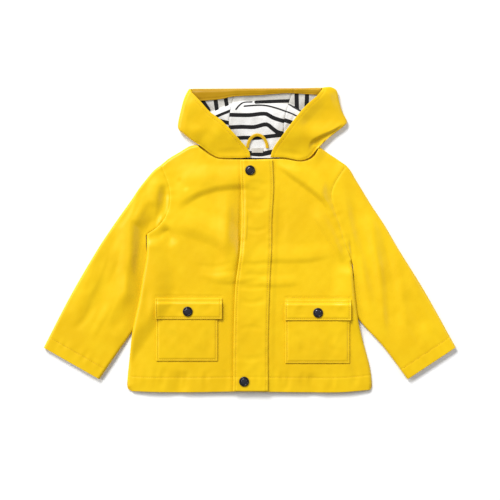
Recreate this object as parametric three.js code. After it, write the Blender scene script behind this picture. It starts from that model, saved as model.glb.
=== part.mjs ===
// Child's hooded raincoat of coated cloth, laid flat on its back with the hood collapsed.
// Millimetres. +X is the wearer's left, +Y is towards the hood, +Z is up, and z = 0 is the table.
import * as THREE from "three";

// Cloth
const CLOTH = 1.4;
const PLACKET_CLOTH = 2;
const LINING_CLOTH = 1;
const SEAM_GAP = 0.45;
const SIDE_GAP = 0.8;
const LAY_GAP = 0.5;

// Heights that the layers lie at
const SLEEVE_HIGH = 6.6;
const SLEEVE_UNDER_BODY = 4.5;
const SLEEVE_LOWEST = 3.3;
const BODY_LIFT = 5.5;
const BODY_SLACK = 3.2;
const SEAM_HIGH = 6.6;
const TURN_RADIUS = 5;
const SLEEVE_TURN = 4;
const HOOD_TURN = 6;

// Centre front
const CENTRE_X = 9.5;
const HEM_Y = -228;
const NECK_Y = 120.5;

// Outlines, as [x, y] in millimetres, from the wearer's right to left or from low to high
const OUTLINE = {
  sideRight: [[-178, -227.5], [-183.5, -222.5], [-184, -210], [-181, -180], [-176, -137], [-166, -90],
    [-161, -59], [-154.8, -23], [-155, 8]],
  sideLeft: [[182, -225.5], [183.5, -218], [180.5, -191], [168.5, -146], [162.5, -119], [156.5, -68],
    [153.5, -33.5]],
  armholeRight: [[-155, 8], [-140.5, 17.5], [-129.5, 29.5], [-122.5, 43], [-119.5, 59.5], [-121, 80.5],
    [-133, 113]],
  armholeLeft: [[153.5, -33.5], [141.5, -0.5], [134, 26.5], [126.5, 47.5], [122, 65.5], [126.5, 83.5],
    [145, 112]],
  shoulderRight: [[-133, 113], [-121, 122.5], [-106, 131.5], [-91, 140.3], [-79.5, 143]],
  shoulderLeft: [[145, 112], [129.5, 122.5], [116, 131.5], [104.5, 140]],
  neckRight: [[-79.5, 143], [-73, 136.5], [-59.5, 126.5], [-46, 121.3], [-16, NECK_Y], [CENTRE_X, NECK_Y]],
  neckLeft: [[104.5, 140], [101, 132.5], [96, 125], [88, 119.6], [75.5, 117.2], [53, 120.6], [33.5, 121.3],
    [CENTRE_X, NECK_Y]],
  neckBack: [[-79.5, 143], [-45, 140], [12, 138.5], [70, 139], [104.5, 140]],
  outerRight: [[-134.4, 112.4], [-143.5, 104.5], [-152, 95], [-166, 77.5], [-178, 59.5], [-203.5, 23.5],
    [-227.5, -12.5], [-269.5, -84.5], [-309.5, -162]],
  outerLeft: [[146.4, 111.2], [151, 104.5], [157, 94], [167, 77.5], [183.5, 50.5], [201.5, 23.5],
    [222.5, -12.5], [261.5, -75.5], [309.5, -161.5]],
  underRight: [[-156.6, 6], [-158, -7], [-156, -19], [-151, -33], [-146, -48], [-144, -68], [-149.5, -98],
    [-163, -119.5], [-176, -137], [-226, -209.5]],
  underLeft: [[155.4, -37], [158, -48], [157, -60], [152.5, -78], [154.5, -99.5], [164.5, -120.5],
    [201, -161], [237, -209.5]],
  hem: [[-178, -227.5], [-134.5, -228.8], [-89.5, -229], [-14.5, HEM_Y], [75.5, -229], [135.5, -229],
    [182, -225.5]],
};

const HOOD = {
  rimRight: [[-88, 222], [-73, 206.5], [-59.5, 191.5], [-41.5, 178], [-17.5, 152.5], [-1, 133], [1, 123.5]],
  rimLeft: [[107, 224], [101, 216], [90.5, 207], [78.5, 195], [62.5, 175], [50.5, 158.5], [35.5, 137.5],
    [30.5, 123.5]],
  turnRight: [[-90.5, 227], [-95, 220], [-99.5, 209], [-104, 192], [-108, 172], [-106.5, 165], [-98.5, 158],
    [-88, 150], [-80, 144.6]],
  turnLeft: [[111, 229], [122, 229.3], [130.5, 224], [134, 209.5], [139, 192.5], [146, 178.5], [145, 174],
    [126.5, 159], [104, 142]],
  lowRight: [[1, 123.5], [-16, 122.4], [-45, 123.4], [-58.5, 128.3], [-72, 138.2], [-79, 144.6]],
  lowLeft: [[30.5, 123.5], [53, 123], [75, 119.2], [87, 121.8], [94, 126.9], [99, 134.4], [102.6, 141.8]],
  seamRight: -31.5,
  seamLeft: 51.5,
  topY: 227.5,
  baseY: 139.6,
};

// Height of the roof fold across the lining, and the facing's lower edge
const ROOF = [[-90, 178], [-67, 187], [-54, 193], [-25, 205], [-8.5, 207.5], [23, 205], [60.5, 203],
  [78.5, 193], [110, 176]];
const FACING_LOW = [[-88, 207], [-44.5, 210.5], [-25, 214.5], [15.5, 216.5], [56.5, 219.5], [104, 217]];

// Creases: depth is below 0 for a trough. The two widths are to the left and right of the path's direction.
const BODY_FOLDS = [
  {
    name: "right chest drag line", depth: 3.4, left: 36, right: 12,
    path: [[-117, 45], [-106, 56], [-93, 66], [-73, 76], [-48, 83], [-6, 86], [27, 81]],
  },
  {
    name: "right side drag line", depth: 3, left: 30, right: 20,
    path: [[-135, 33], [-120, 30], [-99, 24], [-73, 15], [-47, 6], [-27, -11], [-10, -36], [0, -66]],
  },
  {
    name: "right armpit trough", depth: -2.4, left: 12, right: 12,
    path: [[-140, 10], [-126, 12], [-112, -10]],
  },
  {
    name: "trough along the storm flap", depth: -3.2, left: 8, right: 24,
    path: [[-14, 102], [-13, 72], [-13, 39], [-15, -9], [-18, -42]],
  },
  {
    name: "ridge beside that trough", depth: 1.8, left: 16, right: 26,
    path: [[-36, 75], [-36, 51], [-36, 24], [-36, 0], [-31, -27]],
  },
  {
    name: "left chest drag line", depth: 4, left: 26, right: 10,
    path: [[30, 135], [51, 111], [73, 94], [95, 78], [117, 58], [129, 37], [141, 13], [147, -15]],
  },
  {
    name: "left side drag line", depth: 2.4, left: 15, right: 9,
    path: [[90, 54], [107, 27], [122, 3], [134, -18], [143, -45]],
  },
  {
    name: "left waist ridge", depth: 1.5, left: 22, right: 10,
    path: [[0, -29], [33, -27], [60, -27], [87, -26], [129, -18]],
  },
  {
    name: "left lower waist ridge", depth: 1.1, left: 14, right: 8,
    path: [[3, -64], [27, -65], [45, -65], [81, -62]],
  },
  {
    name: "right lower waist ridge", depth: 1.1, left: 14, right: 8,
    path: [[-69, -56], [-45, -60], [-24, -60], [9, -57]],
  },
  {
    name: "right shoulder ridge", depth: 1.4, left: 22, right: 18,
    path: [[-112, 92], [-86, 96], [-48, 94]],
  },
  {
    name: "right hem ripple", depth: -1.5, left: 20, right: 14,
    path: [[-112, -240], [-106, -214], [-104, -194]],
  },
  { name: "left hem ripple", depth: -1.5, left: 16, right: 20, path: [[96, -240], [92, -216], [90, -198]] },
];

const SLEEVE_FOLDS = [
  { name: "right cap notch", depth: -3, left: 9, right: 14, path: [[-124, 86], [-127, 58], [-131, 24]] },
  { name: "right cap ridge", depth: 2, left: 16, right: 14, path: [[-138, 96], [-143, 66], [-146, 46]] },
  {
    name: "right underarm trough", depth: -5, left: 8, right: 30,
    path: [[-134, 54], [-141, 30], [-147, 6], [-150, -15], [-153, -39], [-158, -63], [-164, -87]],
  },
  {
    name: "right inner ridge", depth: 4.6, left: 34, right: 26,
    path: [[-189, 72], [-180, 36], [-178, 3], [-180, -24], [-174, -53], [-183, -90], [-195, -126]],
  },
  {
    name: "right elbow trough", depth: -1.6, left: 18, right: 20,
    path: [[-202, -22], [-218, -70], [-232, -122]],
  },
  {
    name: "right inner trough", depth: -1.6, left: 14, right: 16,
    path: [[-178, -80], [-190, -110], [-206, -144]],
  },
  {
    name: "right outer ridge", depth: 1.4, left: 16, right: 18,
    path: [[-222, -34], [-246, -80], [-270, -130]],
  },
  {
    name: "left underarm trough", depth: -2.6, left: 16, right: 14,
    path: [[150, 92], [163, 22], [181, -48], [198, -117]],
  },
  {
    name: "left long trough", depth: -2.4, left: 20, right: 16,
    path: [[194, 22], [209, -50], [216, -120], [220, -166]],
  },
  { name: "left inner ridge", depth: 2, left: 14, right: 14, path: [[176, 44], [192, -16], [205, -70]] },
  { name: "left outer ridge", depth: 1.5, left: 18, right: 18, path: [[214, 6], [238, -50], [260, -110]] },
  {
    name: "left elbow trough", depth: -1.2, left: 14, right: 16,
    path: [[232, -74], [246, -104], [262, -140]],
  },
];

const HOOD_FOLDS = [
  {
    name: "left lower crease", depth: -3, left: 14, right: 4,
    path: [[147, 175], [127, 162], [106, 152], [94, 145], [92, 130]],
  },
  {
    name: "right soft trough", depth: -1.6, left: 22, right: 22,
    path: [[-98, 196], [-76, 176], [-50, 150]],
  },
  { name: "left soft trough", depth: -1.8, left: 22, right: 22, path: [[128, 206], [104, 184], [78, 160]] },
];

const PLACKET_FOLDS = [
  { name: "upper dimple", depth: -0.5, left: 9, right: 9, path: [[-16, 66], [10, 56], [34, 62]] },
  { name: "waist crease high", depth: -0.5, left: 6, right: 7, path: [[-18, -34], [8, -37], [34, -33]] },
  { name: "waist crease middle", depth: -0.4, left: 6, right: 6, path: [[-20, -55], [6, -52], [32, -56]] },
  { name: "waist crease low", depth: -0.5, left: 7, right: 6, path: [[-22, -70], [6, -72], [32, -68]] },
];

const YELLOW = 0xf0c61e;
const cloth = (color) => new THREE.MeshStandardMaterial({ color, roughness: 0.5, metalness: 0 });

const clamp = (t) => Math.min(Math.max(t, 0), 1);
const ease = (t) => clamp(t) ** 2 * (3 - 2 * clamp(t));
const mix = (a, b, t) => a + (b - a) * t;
const turned = (distance, radius) => Math.sqrt(1 - (1 - clamp(distance / radius)) ** 2);

// A smooth path through its points: a function of t, from 0 to 1
function smooth(points) {
  const at = [0];
  for (let i = 1; i < points.length; i++) {
    at.push(at[i - 1] + Math.hypot(points[i][0] - points[i - 1][0], points[i][1] - points[i - 1][1]));
  }
  const last = points.length - 1;
  const slope = points.map((_, i) => {
    const a = Math.max(i - 1, 0);
    const b = Math.min(i + 1, last);
    return [0, 1].map((k) => (points[b][k] - points[a][k]) / (at[b] - at[a]));
  });
  return (t) => {
    const s = clamp(t) * at[last];
    let i = 0;
    while (i < last - 1 && s > at[i + 1]) i++;
    const h = at[i + 1] - at[i];
    const q = (s - at[i]) / h;
    return [0, 1].map((k) => (2 * q ** 3 - 3 * q ** 2 + 1) * points[i][k]
      + (q ** 3 - 2 * q ** 2 + q) * h * slope[i][k]
      + (3 * q ** 2 - 2 * q ** 3) * points[i + 1][k]
      + (q ** 3 - q ** 2) * h * slope[i + 1][k]);
  };
}

const straight = (a, b) => (t) => [mix(a[0], b[0], t), mix(a[1], b[1], t)];
const backwards = (path) => (t) => path(1 - t);
const part = (path, from, to) => (t) => path(mix(from, to, t));

// Two paths end to end, the first up to t = share
function joined(first, second, share) {
  return (t) => (t <= share ? first(t / share) : second((t - share) / (1 - share)));
}

// A path moved sideways, to the left of its direction
function aside(path, distance) {
  return (t) => {
    const a = path(Math.max(t - 0.01, 0));
    const b = path(Math.min(t + 0.01, 1));
    const length = Math.hypot(b[0] - a[0], b[1] - a[1]);
    const [x, y] = path(t);
    return [x - distance * (b[1] - a[1]) / length, y + distance * (b[0] - a[0]) / length];
  };
}

// A patch between four edges: low and high run along u, start and end run along v
function patch(low, high, start, end) {
  return (u, v) => [0, 1].map((k) => mix(low(u)[k], high(u)[k], v) + mix(start(v)[k], end(v)[k], u)
    - mix(mix(low(0)[k], low(1)[k], u), mix(high(0)[k], high(1)[k], u), v));
}

// A value read from a table of [key, value] rows that rise in key
function read(table, key) {
  let i = 0;
  while (i < table.length - 2 && key > table[i + 1][0]) i++;
  const [a, b] = [table[i], table[i + 1]];
  return mix(a[1], b[1], clamp((key - a[0]) / (b[0] - a[0])));
}

const byHeight = (points) => points.map(([x, y]) => [y, x]).sort((a, b) => a[0] - b[0]);

// Nearest place on a path: distance, side (+1 is left) and share along it
function nearest(line, x, y) {
  let best = { distance: Infinity, side: 1, along: 0 };
  for (let i = 0; i < line.length - 1; i++) {
    const [ax, ay] = line[i];
    const [dx, dy] = [line[i + 1][0] - ax, line[i + 1][1] - ay];
    const q = clamp(((x - ax) * dx + (y - ay) * dy) / (dx * dx + dy * dy));
    const distance = Math.hypot(x - ax - q * dx, y - ay - q * dy);
    if (distance < best.distance) {
      const side = Math.sign(dx * (y - ay) - dy * (x - ax)) || 1;
      best = { distance, side, along: (i + q) / (line.length - 1) };
    }
  }
  return best;
}

const sampled = (path, count) => Array.from({ length: count + 1 }, (_, i) => path(i / count));

// Sum of a table of creases at a place. Each one dies out over a share of its length at both ends.
const TAPER = 0.3;
function creased(folds) {
  const lines = folds.map((fold) => ({ ...fold, line: sampled(smooth(fold.path), 16) }));
  return (x, y) => lines.reduce((sum, fold) => {
    const near = nearest(fold.line, x, y);
    const wide = near.side > 0 ? fold.left : fold.right;
    const bell = Math.max(1 - (near.distance / wide) ** 2, 0) ** 2;
    return sum + fold.depth * bell * ease(near.along / TAPER) * ease((1 - near.along) / TAPER);
  }, 0);
}

// A closed wall from a grid of outer points: rows of [x, y, z]. Its inner face is a thickness behind them.
function wall(rows, thick, { outward = 1, ring = false, floor = null } = {}) {
  const count = rows[0].length;
  const at = (j, i) => new THREE.Vector3(...rows[j][ring ? (i + count) % count : i]);
  const outer = [];
  const inner = [];
  rows.forEach((row, j) => row.forEach((point, i) => {
    const [i0, i1] = ring ? [i - 1, i + 1] : [Math.max(i - 1, 0), Math.min(i + 1, count - 1)];
    const across = at(j, i1).sub(at(j, i0));
    const along = at(Math.min(j + 1, rows.length - 1), i).sub(at(Math.max(j - 1, 0), i));
    // A ring's sections stand upright, so its normals lie in them
    if (ring) along.copy(at(j, 0)).sub(at(j, count / 2)).setZ(0).cross(new THREE.Vector3(0, 0, outward));
    const normal = across.cross(along).normalize().multiplyScalar(outward);
    const behind = at(j, i).addScaledVector(normal, -thick);
    if (floor) behind.z = Math.max(behind.z, floor(behind.x, behind.y));
    outer.push(...point);
    inner.push(...behind.toArray());
  }));
  const size = rows.length * count;
  const faces = [];
  const face = (a, b, c) => faces.push(...(outward > 0 ? [a, b, c] : [a, c, b]));
  const quad = (a, b, c, d) => {
    face(a, b, c);
    face(a, c, d);
  };
  const across = ring ? count : count - 1;
  for (let j = 0; j < rows.length - 1; j++) {
    for (let i = 0; i < across; i++) {
      const [a, b] = [j * count + i, j * count + (i + 1) % count];
      quad(a, b, b + count, a + count);
      quad(a + count + size, b + count + size, b + size, a + size);
    }
  }
  for (let i = 0; i < across; i++) {
    const [a, b] = [i, (i + 1) % count];
    const [c, d] = [a + size - count, b + size - count];
    quad(b, a, a + size, b + size);
    quad(c, d, d + size, c + size);
  }
  for (let j = 0; j < rows.length - 1 && !ring; j++) {
    const [a, b] = [j * count, (j + 1) * count];
    quad(a, b, b + size, a + size);
    quad(b + count - 1, a + count - 1, a + count - 1 + size, b + count - 1 + size);
  }
  const geometry = new THREE.BufferGeometry();
  geometry.setAttribute("position", new THREE.Float32BufferAttribute([...outer, ...inner], 3));
  geometry.setIndex(faces);
  return geometry;
}

// Shares from 0 to 1 in even steps, with finer ones near the ends that are given in millimetres of a length
function steps(count, length = 100, { near = [], far = [] } = {}) {
  const first = near.map((d) => d / length);
  const last = far.map((d) => 1 - d / length).reverse();
  const from = first.length ? first.at(-1) : 0;
  const to = last.length ? last[0] : 1;
  const middle = Array.from({ length: count + 1 }, (_, i) => mix(from, to, i / count));
  return [...first.slice(0, -1), ...middle, ...last.slice(1)];
}

const gridOf = (us, vs, place, height) => vs.map((v) => us.map((u) => {
  const [x, y] = place(u, v);
  return [x, y, height(x, y, u, v)];
}));

const group = new THREE.Group();
function add(name, geometry, material) {
  const mesh = new THREE.Mesh(geometry, material);
  mesh.name = name;
  group.add(mesh);
}

// Body
const path = Object.fromEntries(Object.entries(OUTLINE).map(([name, points]) => [name, smooth(points)]));
const underRightX = byHeight(OUTLINE.underRight);
const underLeftX = byHeight(OUTLINE.underLeft);
const sideRightX = byHeight(OUTLINE.sideRight);
const sideLeftX = byHeight(OUTLINE.sideLeft);
const ARMPIT_RIGHT_Y = 8;
const ARMPIT_LEFT_Y = -33.5;
const LIFT_START = 20;
const LIFT_SPREAD = 34;

// Height of the back's underside: it is lifted where a sleeve's underarm lies beneath it
function backHeight(x, y) {
  const lifted = (armpitY, inside) => ease((armpitY - y) / LIFT_START) * (1 - ease(inside / LIFT_SPREAD));
  const right = lifted(ARMPIT_RIGHT_Y, x - read(underRightX, y));
  const left = lifted(ARMPIT_LEFT_Y, read(underLeftX, y) - x);
  return BODY_LIFT * Math.max(right, left);
}

// Height of the back's upper face, which is higher where it slopes
function backTop(x, y) {
  const slopeX = (backHeight(x + 1, y) - backHeight(x - 1, y)) / 2;
  const slopeY = (backHeight(x, y + 1) - backHeight(x, y - 1)) / 2;
  return backHeight(x, y) + CLOTH * (1 + slopeX ** 2 + slopeY ** 2);
}

const sideLines = [
  sampled(path.sideRight, 24),
  sampled(path.sideLeft, 24),
  sampled(path.shoulderRight, 8),
  sampled(path.shoulderLeft, 8),
];
const openLines = [
  sampled(path.armholeRight, 12),
  sampled(path.armholeLeft, 12),
  sampled(path.neckRight, 10),
  sampled(path.neckLeft, 10),
];
const reach = (lines, x, y) => Math.min(...lines.map((line) => nearest(line, x, y).distance));
const bodyCreases = creased(BODY_FOLDS);

// Distances over which a front rises from its sides, its creases start, and it leaves its open seams
const SIDE_RISE = 60;
const CREASE_START = 10;
const SEAM_SPREAD = 16;

// Height of the fronts' upper face
function frontHeight(x, y) {
  const low = backTop(x, y);
  const lowest = low + CLOTH + LAY_GAP;
  const side = reach(sideLines, x, y);
  const seam = ease(reach(openLines, x, y) / SEAM_SPREAD);
  const slack = BODY_SLACK * ease(0.35 + side / SIDE_RISE) + bodyCreases(x, y) * ease(side / CREASE_START);
  const lying = Math.max(lowest, lowest + slack);
  const free = mix(Math.max(SEAM_HIGH, lowest), lying, seam);
  return mix(low + SIDE_GAP, free, turned(side, TURN_RADIUS));
}

const clearOfBack = (x, y) => backTop(x, y) + SIDE_GAP;

// Shares of the body's edges: side seam before armhole, shoulder before neck, neck before shoulder
const SIDE_SHARE = { right: 0.52, left: 0.44 };
const SHOULDER_SHARE = 0.2;
const NECK_SHARE = { right: 0.6, left: 0.68 };
const sideAndArmholeRight = joined(path.sideRight, path.armholeRight, SIDE_SHARE.right);
const sideAndArmholeLeft = joined(path.sideLeft, path.armholeLeft, SIDE_SHARE.left);
const hemShare = (x) => (x - OUTLINE.hem[0][0]) / (OUTLINE.hem.at(-1)[0] - OUTLINE.hem[0][0]);
const centreHem = [CENTRE_X, path.hem(hemShare(CENTRE_X))[1]];

{
  const neckAndShoulder = joined(path.neckBack, backwards(path.shoulderLeft), 1 - SHOULDER_SHARE);
  const place = patch(
    path.hem,
    joined(path.shoulderRight, neckAndShoulder, SHOULDER_SHARE),
    sideAndArmholeRight,
    sideAndArmholeLeft,
  );
  const us = steps(10, 360, { near: [0, 7, 14, 22, 32], far: [0, 7, 14, 22, 32] });
  add("back", wall(gridOf(us, steps(16), place, backHeight), CLOTH, { outward: -1 }), cloth(YELLOW));
}

const EDGE = [0, 0.7, 2.2, 5];
const BODY_EDGE = [...EDGE, 11, 18, 26];
const FRONT = { wide: 170, tall: 340, columns: 8, rows: 25 };
const FLAP_EDGE = { right: [0, 11, 16, 20, 24, 28, 34], left: [0, 14, 22, 30] };
const frontGrid = (place, near) => gridOf(
  steps(FRONT.columns, FRONT.wide, { near, far: BODY_EDGE }),
  steps(FRONT.rows, FRONT.tall, { far: [0, 3, 8] }),
  place,
  frontHeight,
);
{
  const top = joined(backwards(path.neckRight), backwards(path.shoulderRight), NECK_SHARE.right);
  const centre = straight([CENTRE_X - SEAM_GAP, centreHem[1]], [CENTRE_X - SEAM_GAP, NECK_Y]);
  const hem = part(backwards(path.hem), 1 - hemShare(CENTRE_X), 1);
  const place = patch(hem, top, centre, sideAndArmholeRight);
  const rows = frontGrid(place, FLAP_EDGE.right);
  add("front_right", wall(rows, CLOTH, { outward: -1, floor: clearOfBack }), cloth(YELLOW));
}
{
  const top = joined(backwards(path.neckLeft), backwards(path.shoulderLeft), NECK_SHARE.left);
  const centre = straight([CENTRE_X + SEAM_GAP, centreHem[1]], [CENTRE_X + SEAM_GAP, NECK_Y]);
  const hem = part(path.hem, hemShare(CENTRE_X), 1);
  const place = patch(hem, top, centre, sideAndArmholeLeft);
  const rows = frontGrid(place, FLAP_EDGE.left);
  add("front_left", wall(rows, CLOTH, { floor: clearOfBack }), cloth(YELLOW));
}

// Sleeves: flat tubes, lower where the body lies on them. The lower stretch of each armhole is folded in
// at the armpit, so the tube's underarm edge starts at its top.
const SEAM_TUCK = 0.42;
const ARMHOLE_GAP = 1;
const SLEEVE = { wide: 130, long: 300, outOfBody: 26, aboveArmpit: 24, fromSeam: 14 };
const sleeveCreases = creased(SLEEVE_FOLDS);
function sleeveHeight(x, y, alongSeam) {
  const outside = x < 0 ? read(sideRightX, y) - x : x - read(sideLeftX, y);
  const above = y - (x < 0 ? ARMPIT_RIGHT_Y : ARMPIT_LEFT_Y);
  const free = Math.max(ease(outside / SLEEVE.outOfBody), ease(above / SLEEVE.aboveArmpit));
  const loose = Math.max(SLEEVE_HIGH + sleeveCreases(x, y), SLEEVE_LOWEST);
  const lying = mix(SLEEVE_UNDER_BODY, loose, free);
  const seam = mix(SLEEVE_UNDER_BODY, SEAM_HIGH, ease((above + 4) / SLEEVE.aboveArmpit));
  return mix(seam, lying, ease(alongSeam / SLEEVE.fromSeam));
}

function sleeve(name, seam, outerEdge, underarm, mirror) {
  const armhole = part(seam, SEAM_TUCK, 1);
  const outer = smooth([armhole(1), ...outerEdge.slice(1)]);
  const under = smooth([...sampled(part(seam, SEAM_TUCK, 0), 4).slice(0, -1), ...underarm]);
  const cuff = straight(under(1), outer(1));
  const place = patch(armhole, cuff, under, outer);
  const shares = steps(8, SLEEVE.wide, { near: EDGE, far: EDGE });
  const rows = steps(16, SLEEVE.long, { near: [0, 5] }).map((u) => {
    // The patch runs from armhole to cuff along its second parameter
    const points = shares.map((v) => place(v, u));
    const width = Math.hypot(points.at(-1)[0] - points[0][0], points.at(-1)[1] - points[0][1]);
    const lift = points.map(([x, y], k) => {
      const top = sleeveHeight(x, y, u * SLEEVE.long);
      return { top, round: turned(Math.min(shares[k], 1 - shares[k]) * width, SLEEVE_TURN) };
    });
    const high = points.map(([x, y], k) => [x, y, lift[k].top * (1 + lift[k].round) / 2]);
    const low = points.map(([x, y], k) => [x, y, lift[k].top * (1 - lift[k].round) / 2]);
    return [...high, ...low.slice(1, -1).reverse()];
  });
  add(name, wall(rows, CLOTH, { ring: true, outward: mirror }), cloth(YELLOW));
}

sleeve("sleeve_right", aside(path.armholeRight, ARMHOLE_GAP), OUTLINE.outerRight, OUTLINE.underRight, 1);
sleeve("sleeve_left", aside(path.armholeLeft, -ARMHOLE_GAP), OUTLINE.outerLeft, OUTLINE.underLeft, -1);

// Storm flap over the centre front
const PLACKET = {
  right: [[-24.5, HEM_Y + 1], [-24, -138], [-21.5, -70], [-18.5, -47], [-14.5, -15], [-12.5, 38],
    [-13.5, 87], [-14.5, NECK_Y - 1]],
  left: [[28, HEM_Y + 1], [28, -153], [30.5, -62], [33, -15], [33.5, 30], [36, 77], [34.5, NECK_Y - 1]],
  wide: 52,
  raise: 0.9,
  turn: 4,
};
const placketCreases = creased(PLACKET_FOLDS);
function placketHeight(x, y) {
  return frontHeight(x, y) + LAY_GAP + PLACKET_CLOTH + PLACKET.raise + placketCreases(x, y);
}
{
  const [right, left] = [smooth(PLACKET.right), smooth(PLACKET.left)];
  const place = patch(straight(right(0), left(0)), straight(right(1), left(1)), right, left);
  const height = (x, y, u) => {
    const inset = Math.min(u, 1 - u) * PLACKET.wide;
    return placketHeight(x, y) - PLACKET.raise * (1 - turned(inset, PLACKET.turn));
  };
  const across = steps(3, PLACKET.wide, { near: [0, 2, 5, 9], far: [0, 3] });
  const rows = gridOf(across, steps(28), place, height);
  add("placket", wall(rows, PLACKET_CLOTH, { floor: (x, y) => frontHeight(x, y) + LAY_GAP }), cloth(YELLOW));
}

// Patch pockets and their flaps, by their corners
const POCKETS = [
  {
    side: "right",
    x0: -140.3, x1: -48, top: -97, base: -182,
    flapX0: -141.5, flapX1: -41.5, flapTop: -88, flapBase: -119,
  },
  {
    side: "left",
    x0: 53.5, x1: 150, top: -98.5, base: -185.3,
    flapX0: 52.5, flapX1: 152, flapTop: -90, flapBase: -121,
  },
];
const POCKET_LAY = 0.9;
const POCKET_PUFF = 1.2;
const FLAP_PUFF = 0.5;
const FLAP_DROP = { from: 2, over: 7, clear: 0.3 };
const POCKET_SIZE = 90;
const FLAP_SIZE = { wide: 100, tall: 31 };
const box = (x0, x1, y0, y1) => (u, v) => [mix(x0, x1, u), mix(y0, y1, v)];
const SWELL = 0.3;
const within = (u, v) => turned(Math.min(u, 1 - u), SWELL) * turned(Math.min(v, 1 - v), SWELL);

const pocketTops = {};
for (const pocket of POCKETS) {
  const puff = (u, v) => POCKET_PUFF * within(u, v);
  const height = (x, y, u, v) => frontHeight(x, y) + POCKET_LAY + CLOTH + puff(u, v);
  const shares = steps(8, POCKET_SIZE, { near: [0, 3], far: [0, 3] });
  const rows = gridOf(shares, shares, box(pocket.x0, pocket.x1, pocket.base, pocket.top), height);
  const floor = (x, y) => frontHeight(x, y) + LAY_GAP + 0.1;
  add(`pocket_${pocket.side}`, wall(rows, CLOTH, { floor }), cloth(YELLOW));

  // The flap drops from its stitched edge onto the pocket
  const drop = CLOTH + POCKET_LAY + POCKET_PUFF + FLAP_DROP.clear;
  const step = (y) => drop * ease((pocket.flapTop - y - FLAP_DROP.from) / FLAP_DROP.over);
  const over = (x, y, u, v) => frontHeight(x, y) + LAY_GAP + CLOTH + step(y) + FLAP_PUFF * within(u, v);
  const place = box(pocket.flapX0, pocket.flapX1, pocket.flapBase, pocket.flapTop);
  const across = steps(6, FLAP_SIZE.wide, { near: [0, 3], far: [0, 3] });
  const flapRows = gridOf(across, steps(6, FLAP_SIZE.tall, { near: [0, 2] }), place, over);
  const under = (x, y) => frontHeight(x, y) + SEAM_GAP + step(y);
  add(`pocket_flap_${pocket.side}`, wall(flapRows, CLOTH, { floor: under }), cloth(YELLOW));
  pocketTops[pocket.side] = (x, y) => over(x, y, 0.5, 0.5);
}

// Snap caps
const SNAP_RADIUS = 7.5;
const SNAPS = [
  { name: "snap_neck", x: 0.5, y: 104, on: placketHeight },
  { name: "snap_hem", x: -8.5, y: -212.5, on: placketHeight },
  { name: "snap_pocket_right", x: -93, y: -107.5, on: pocketTops.right },
  { name: "snap_pocket_left", x: 102.3, y: -109.5, on: pocketTops.left },
];
const SNAP_PROFILE = [[0, 0], [6.9, 0], [SNAP_RADIUS, 0.6], [7.3, 1.5], [6.4, 2.1], [5.2, 1.9], [3.2, 2.2],
  [0, 2.4]];
const SNAP_SIDES = 16;
const SNAP_LAY = 0.3;
const snapMetal = new THREE.MeshStandardMaterial({ color: 0x2a2426, roughness: 0.35, metalness: 0.8 });
for (const snap of SNAPS) {
  const profile = SNAP_PROFILE.map(([r, z]) => new THREE.Vector2(r, z));
  const geometry = new THREE.LatheGeometry(profile, SNAP_SIDES);
  geometry.rotateX(Math.PI / 2);
  const rim = Array.from({ length: 12 }, (_, i) => {
    const angle = (i * Math.PI) / 6;
    return snap.on(snap.x + SNAP_RADIUS * Math.cos(angle), snap.y + SNAP_RADIUS * Math.sin(angle));
  });
  const seat = Math.max(snap.on(snap.x, snap.y), ...rim);
  geometry.translate(snap.x, snap.y, seat + SNAP_LAY);
  add(snap.name, geometry, snapMetal);
}

// Hood. Its sides wrap from under the table side round their outer edge to the rim on top.
const HOOD_LOW = 7.4;
const HOOD_RISE = { height: 7.6, from: 126, over: 42 };
const HOOD_FALL = { height: 2.6, over: 60 };
const HOOD_LEFT_FALL = { height: 3.4, from: 152, over: 30, across: 50 };
const HOOD_TOP_FALL = { height: 2.2, from: 200, over: 26 };
const hoodPath = Object.fromEntries(Object.entries(HOOD)
  .filter(([, value]) => Array.isArray(value))
  .map(([name, points]) => [name, smooth(points)]));
const rimLines = [sampled(hoodPath.rimRight, 20), sampled(hoodPath.rimLeft, 20)];
const rimLeftX = byHeight(HOOD.rimLeft);
const hoodCreases = creased(HOOD_FOLDS);

// Height of the upper face of the hood's sides: they rise from the neck, and fall from the rim to the outer
// edge and to the top
function hoodHeight(x, y) {
  const rim = reach(rimLines, x, y);
  const rise = HOOD_RISE.height * ease((y - HOOD_RISE.from) / HOOD_RISE.over);
  const outside = ease((x - read(rimLeftX, y)) / HOOD_LEFT_FALL.across);
  const leftFall = HOOD_LEFT_FALL.height * ease((y - HOOD_LEFT_FALL.from) / HOOD_LEFT_FALL.over) * outside;
  const fall = HOOD_FALL.height * ease(rim / HOOD_FALL.over) + leftFall;
  const topFall = HOOD_TOP_FALL.height * ease((y - HOOD_TOP_FALL.from) / HOOD_TOP_FALL.over);
  return HOOD_LOW + rise - fall - topFall + hoodCreases(x, y);
}

const BAND = { low: 4.9, rise: 2, narrowest: 6 };
const CROWN = { low: 3.4, rise: 8.6, from: 6, over: 66, dip: 1.4, dipOver: 8 };

// Height of the lining: a shaded band behind the rim, a roof fold, and the crown sloping to the neck
function liningHeight(x, y) {
  const below = read(ROOF, x) - y;
  const wide = Math.max(read(FACING_LOW, x) - read(ROOF, x), BAND.narrowest);
  const band = BAND.low + BAND.rise * clamp(-below / wide);
  const slope = CROWN.rise * (1 - ease((below - CROWN.from) / CROWN.over));
  const crown = CROWN.low + slope - CROWN.dip * ease((CROWN.dipOver - below) / CROWN.dipOver);
  return mix(band, crown, ease((below + 0.5) / 3));
}

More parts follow.
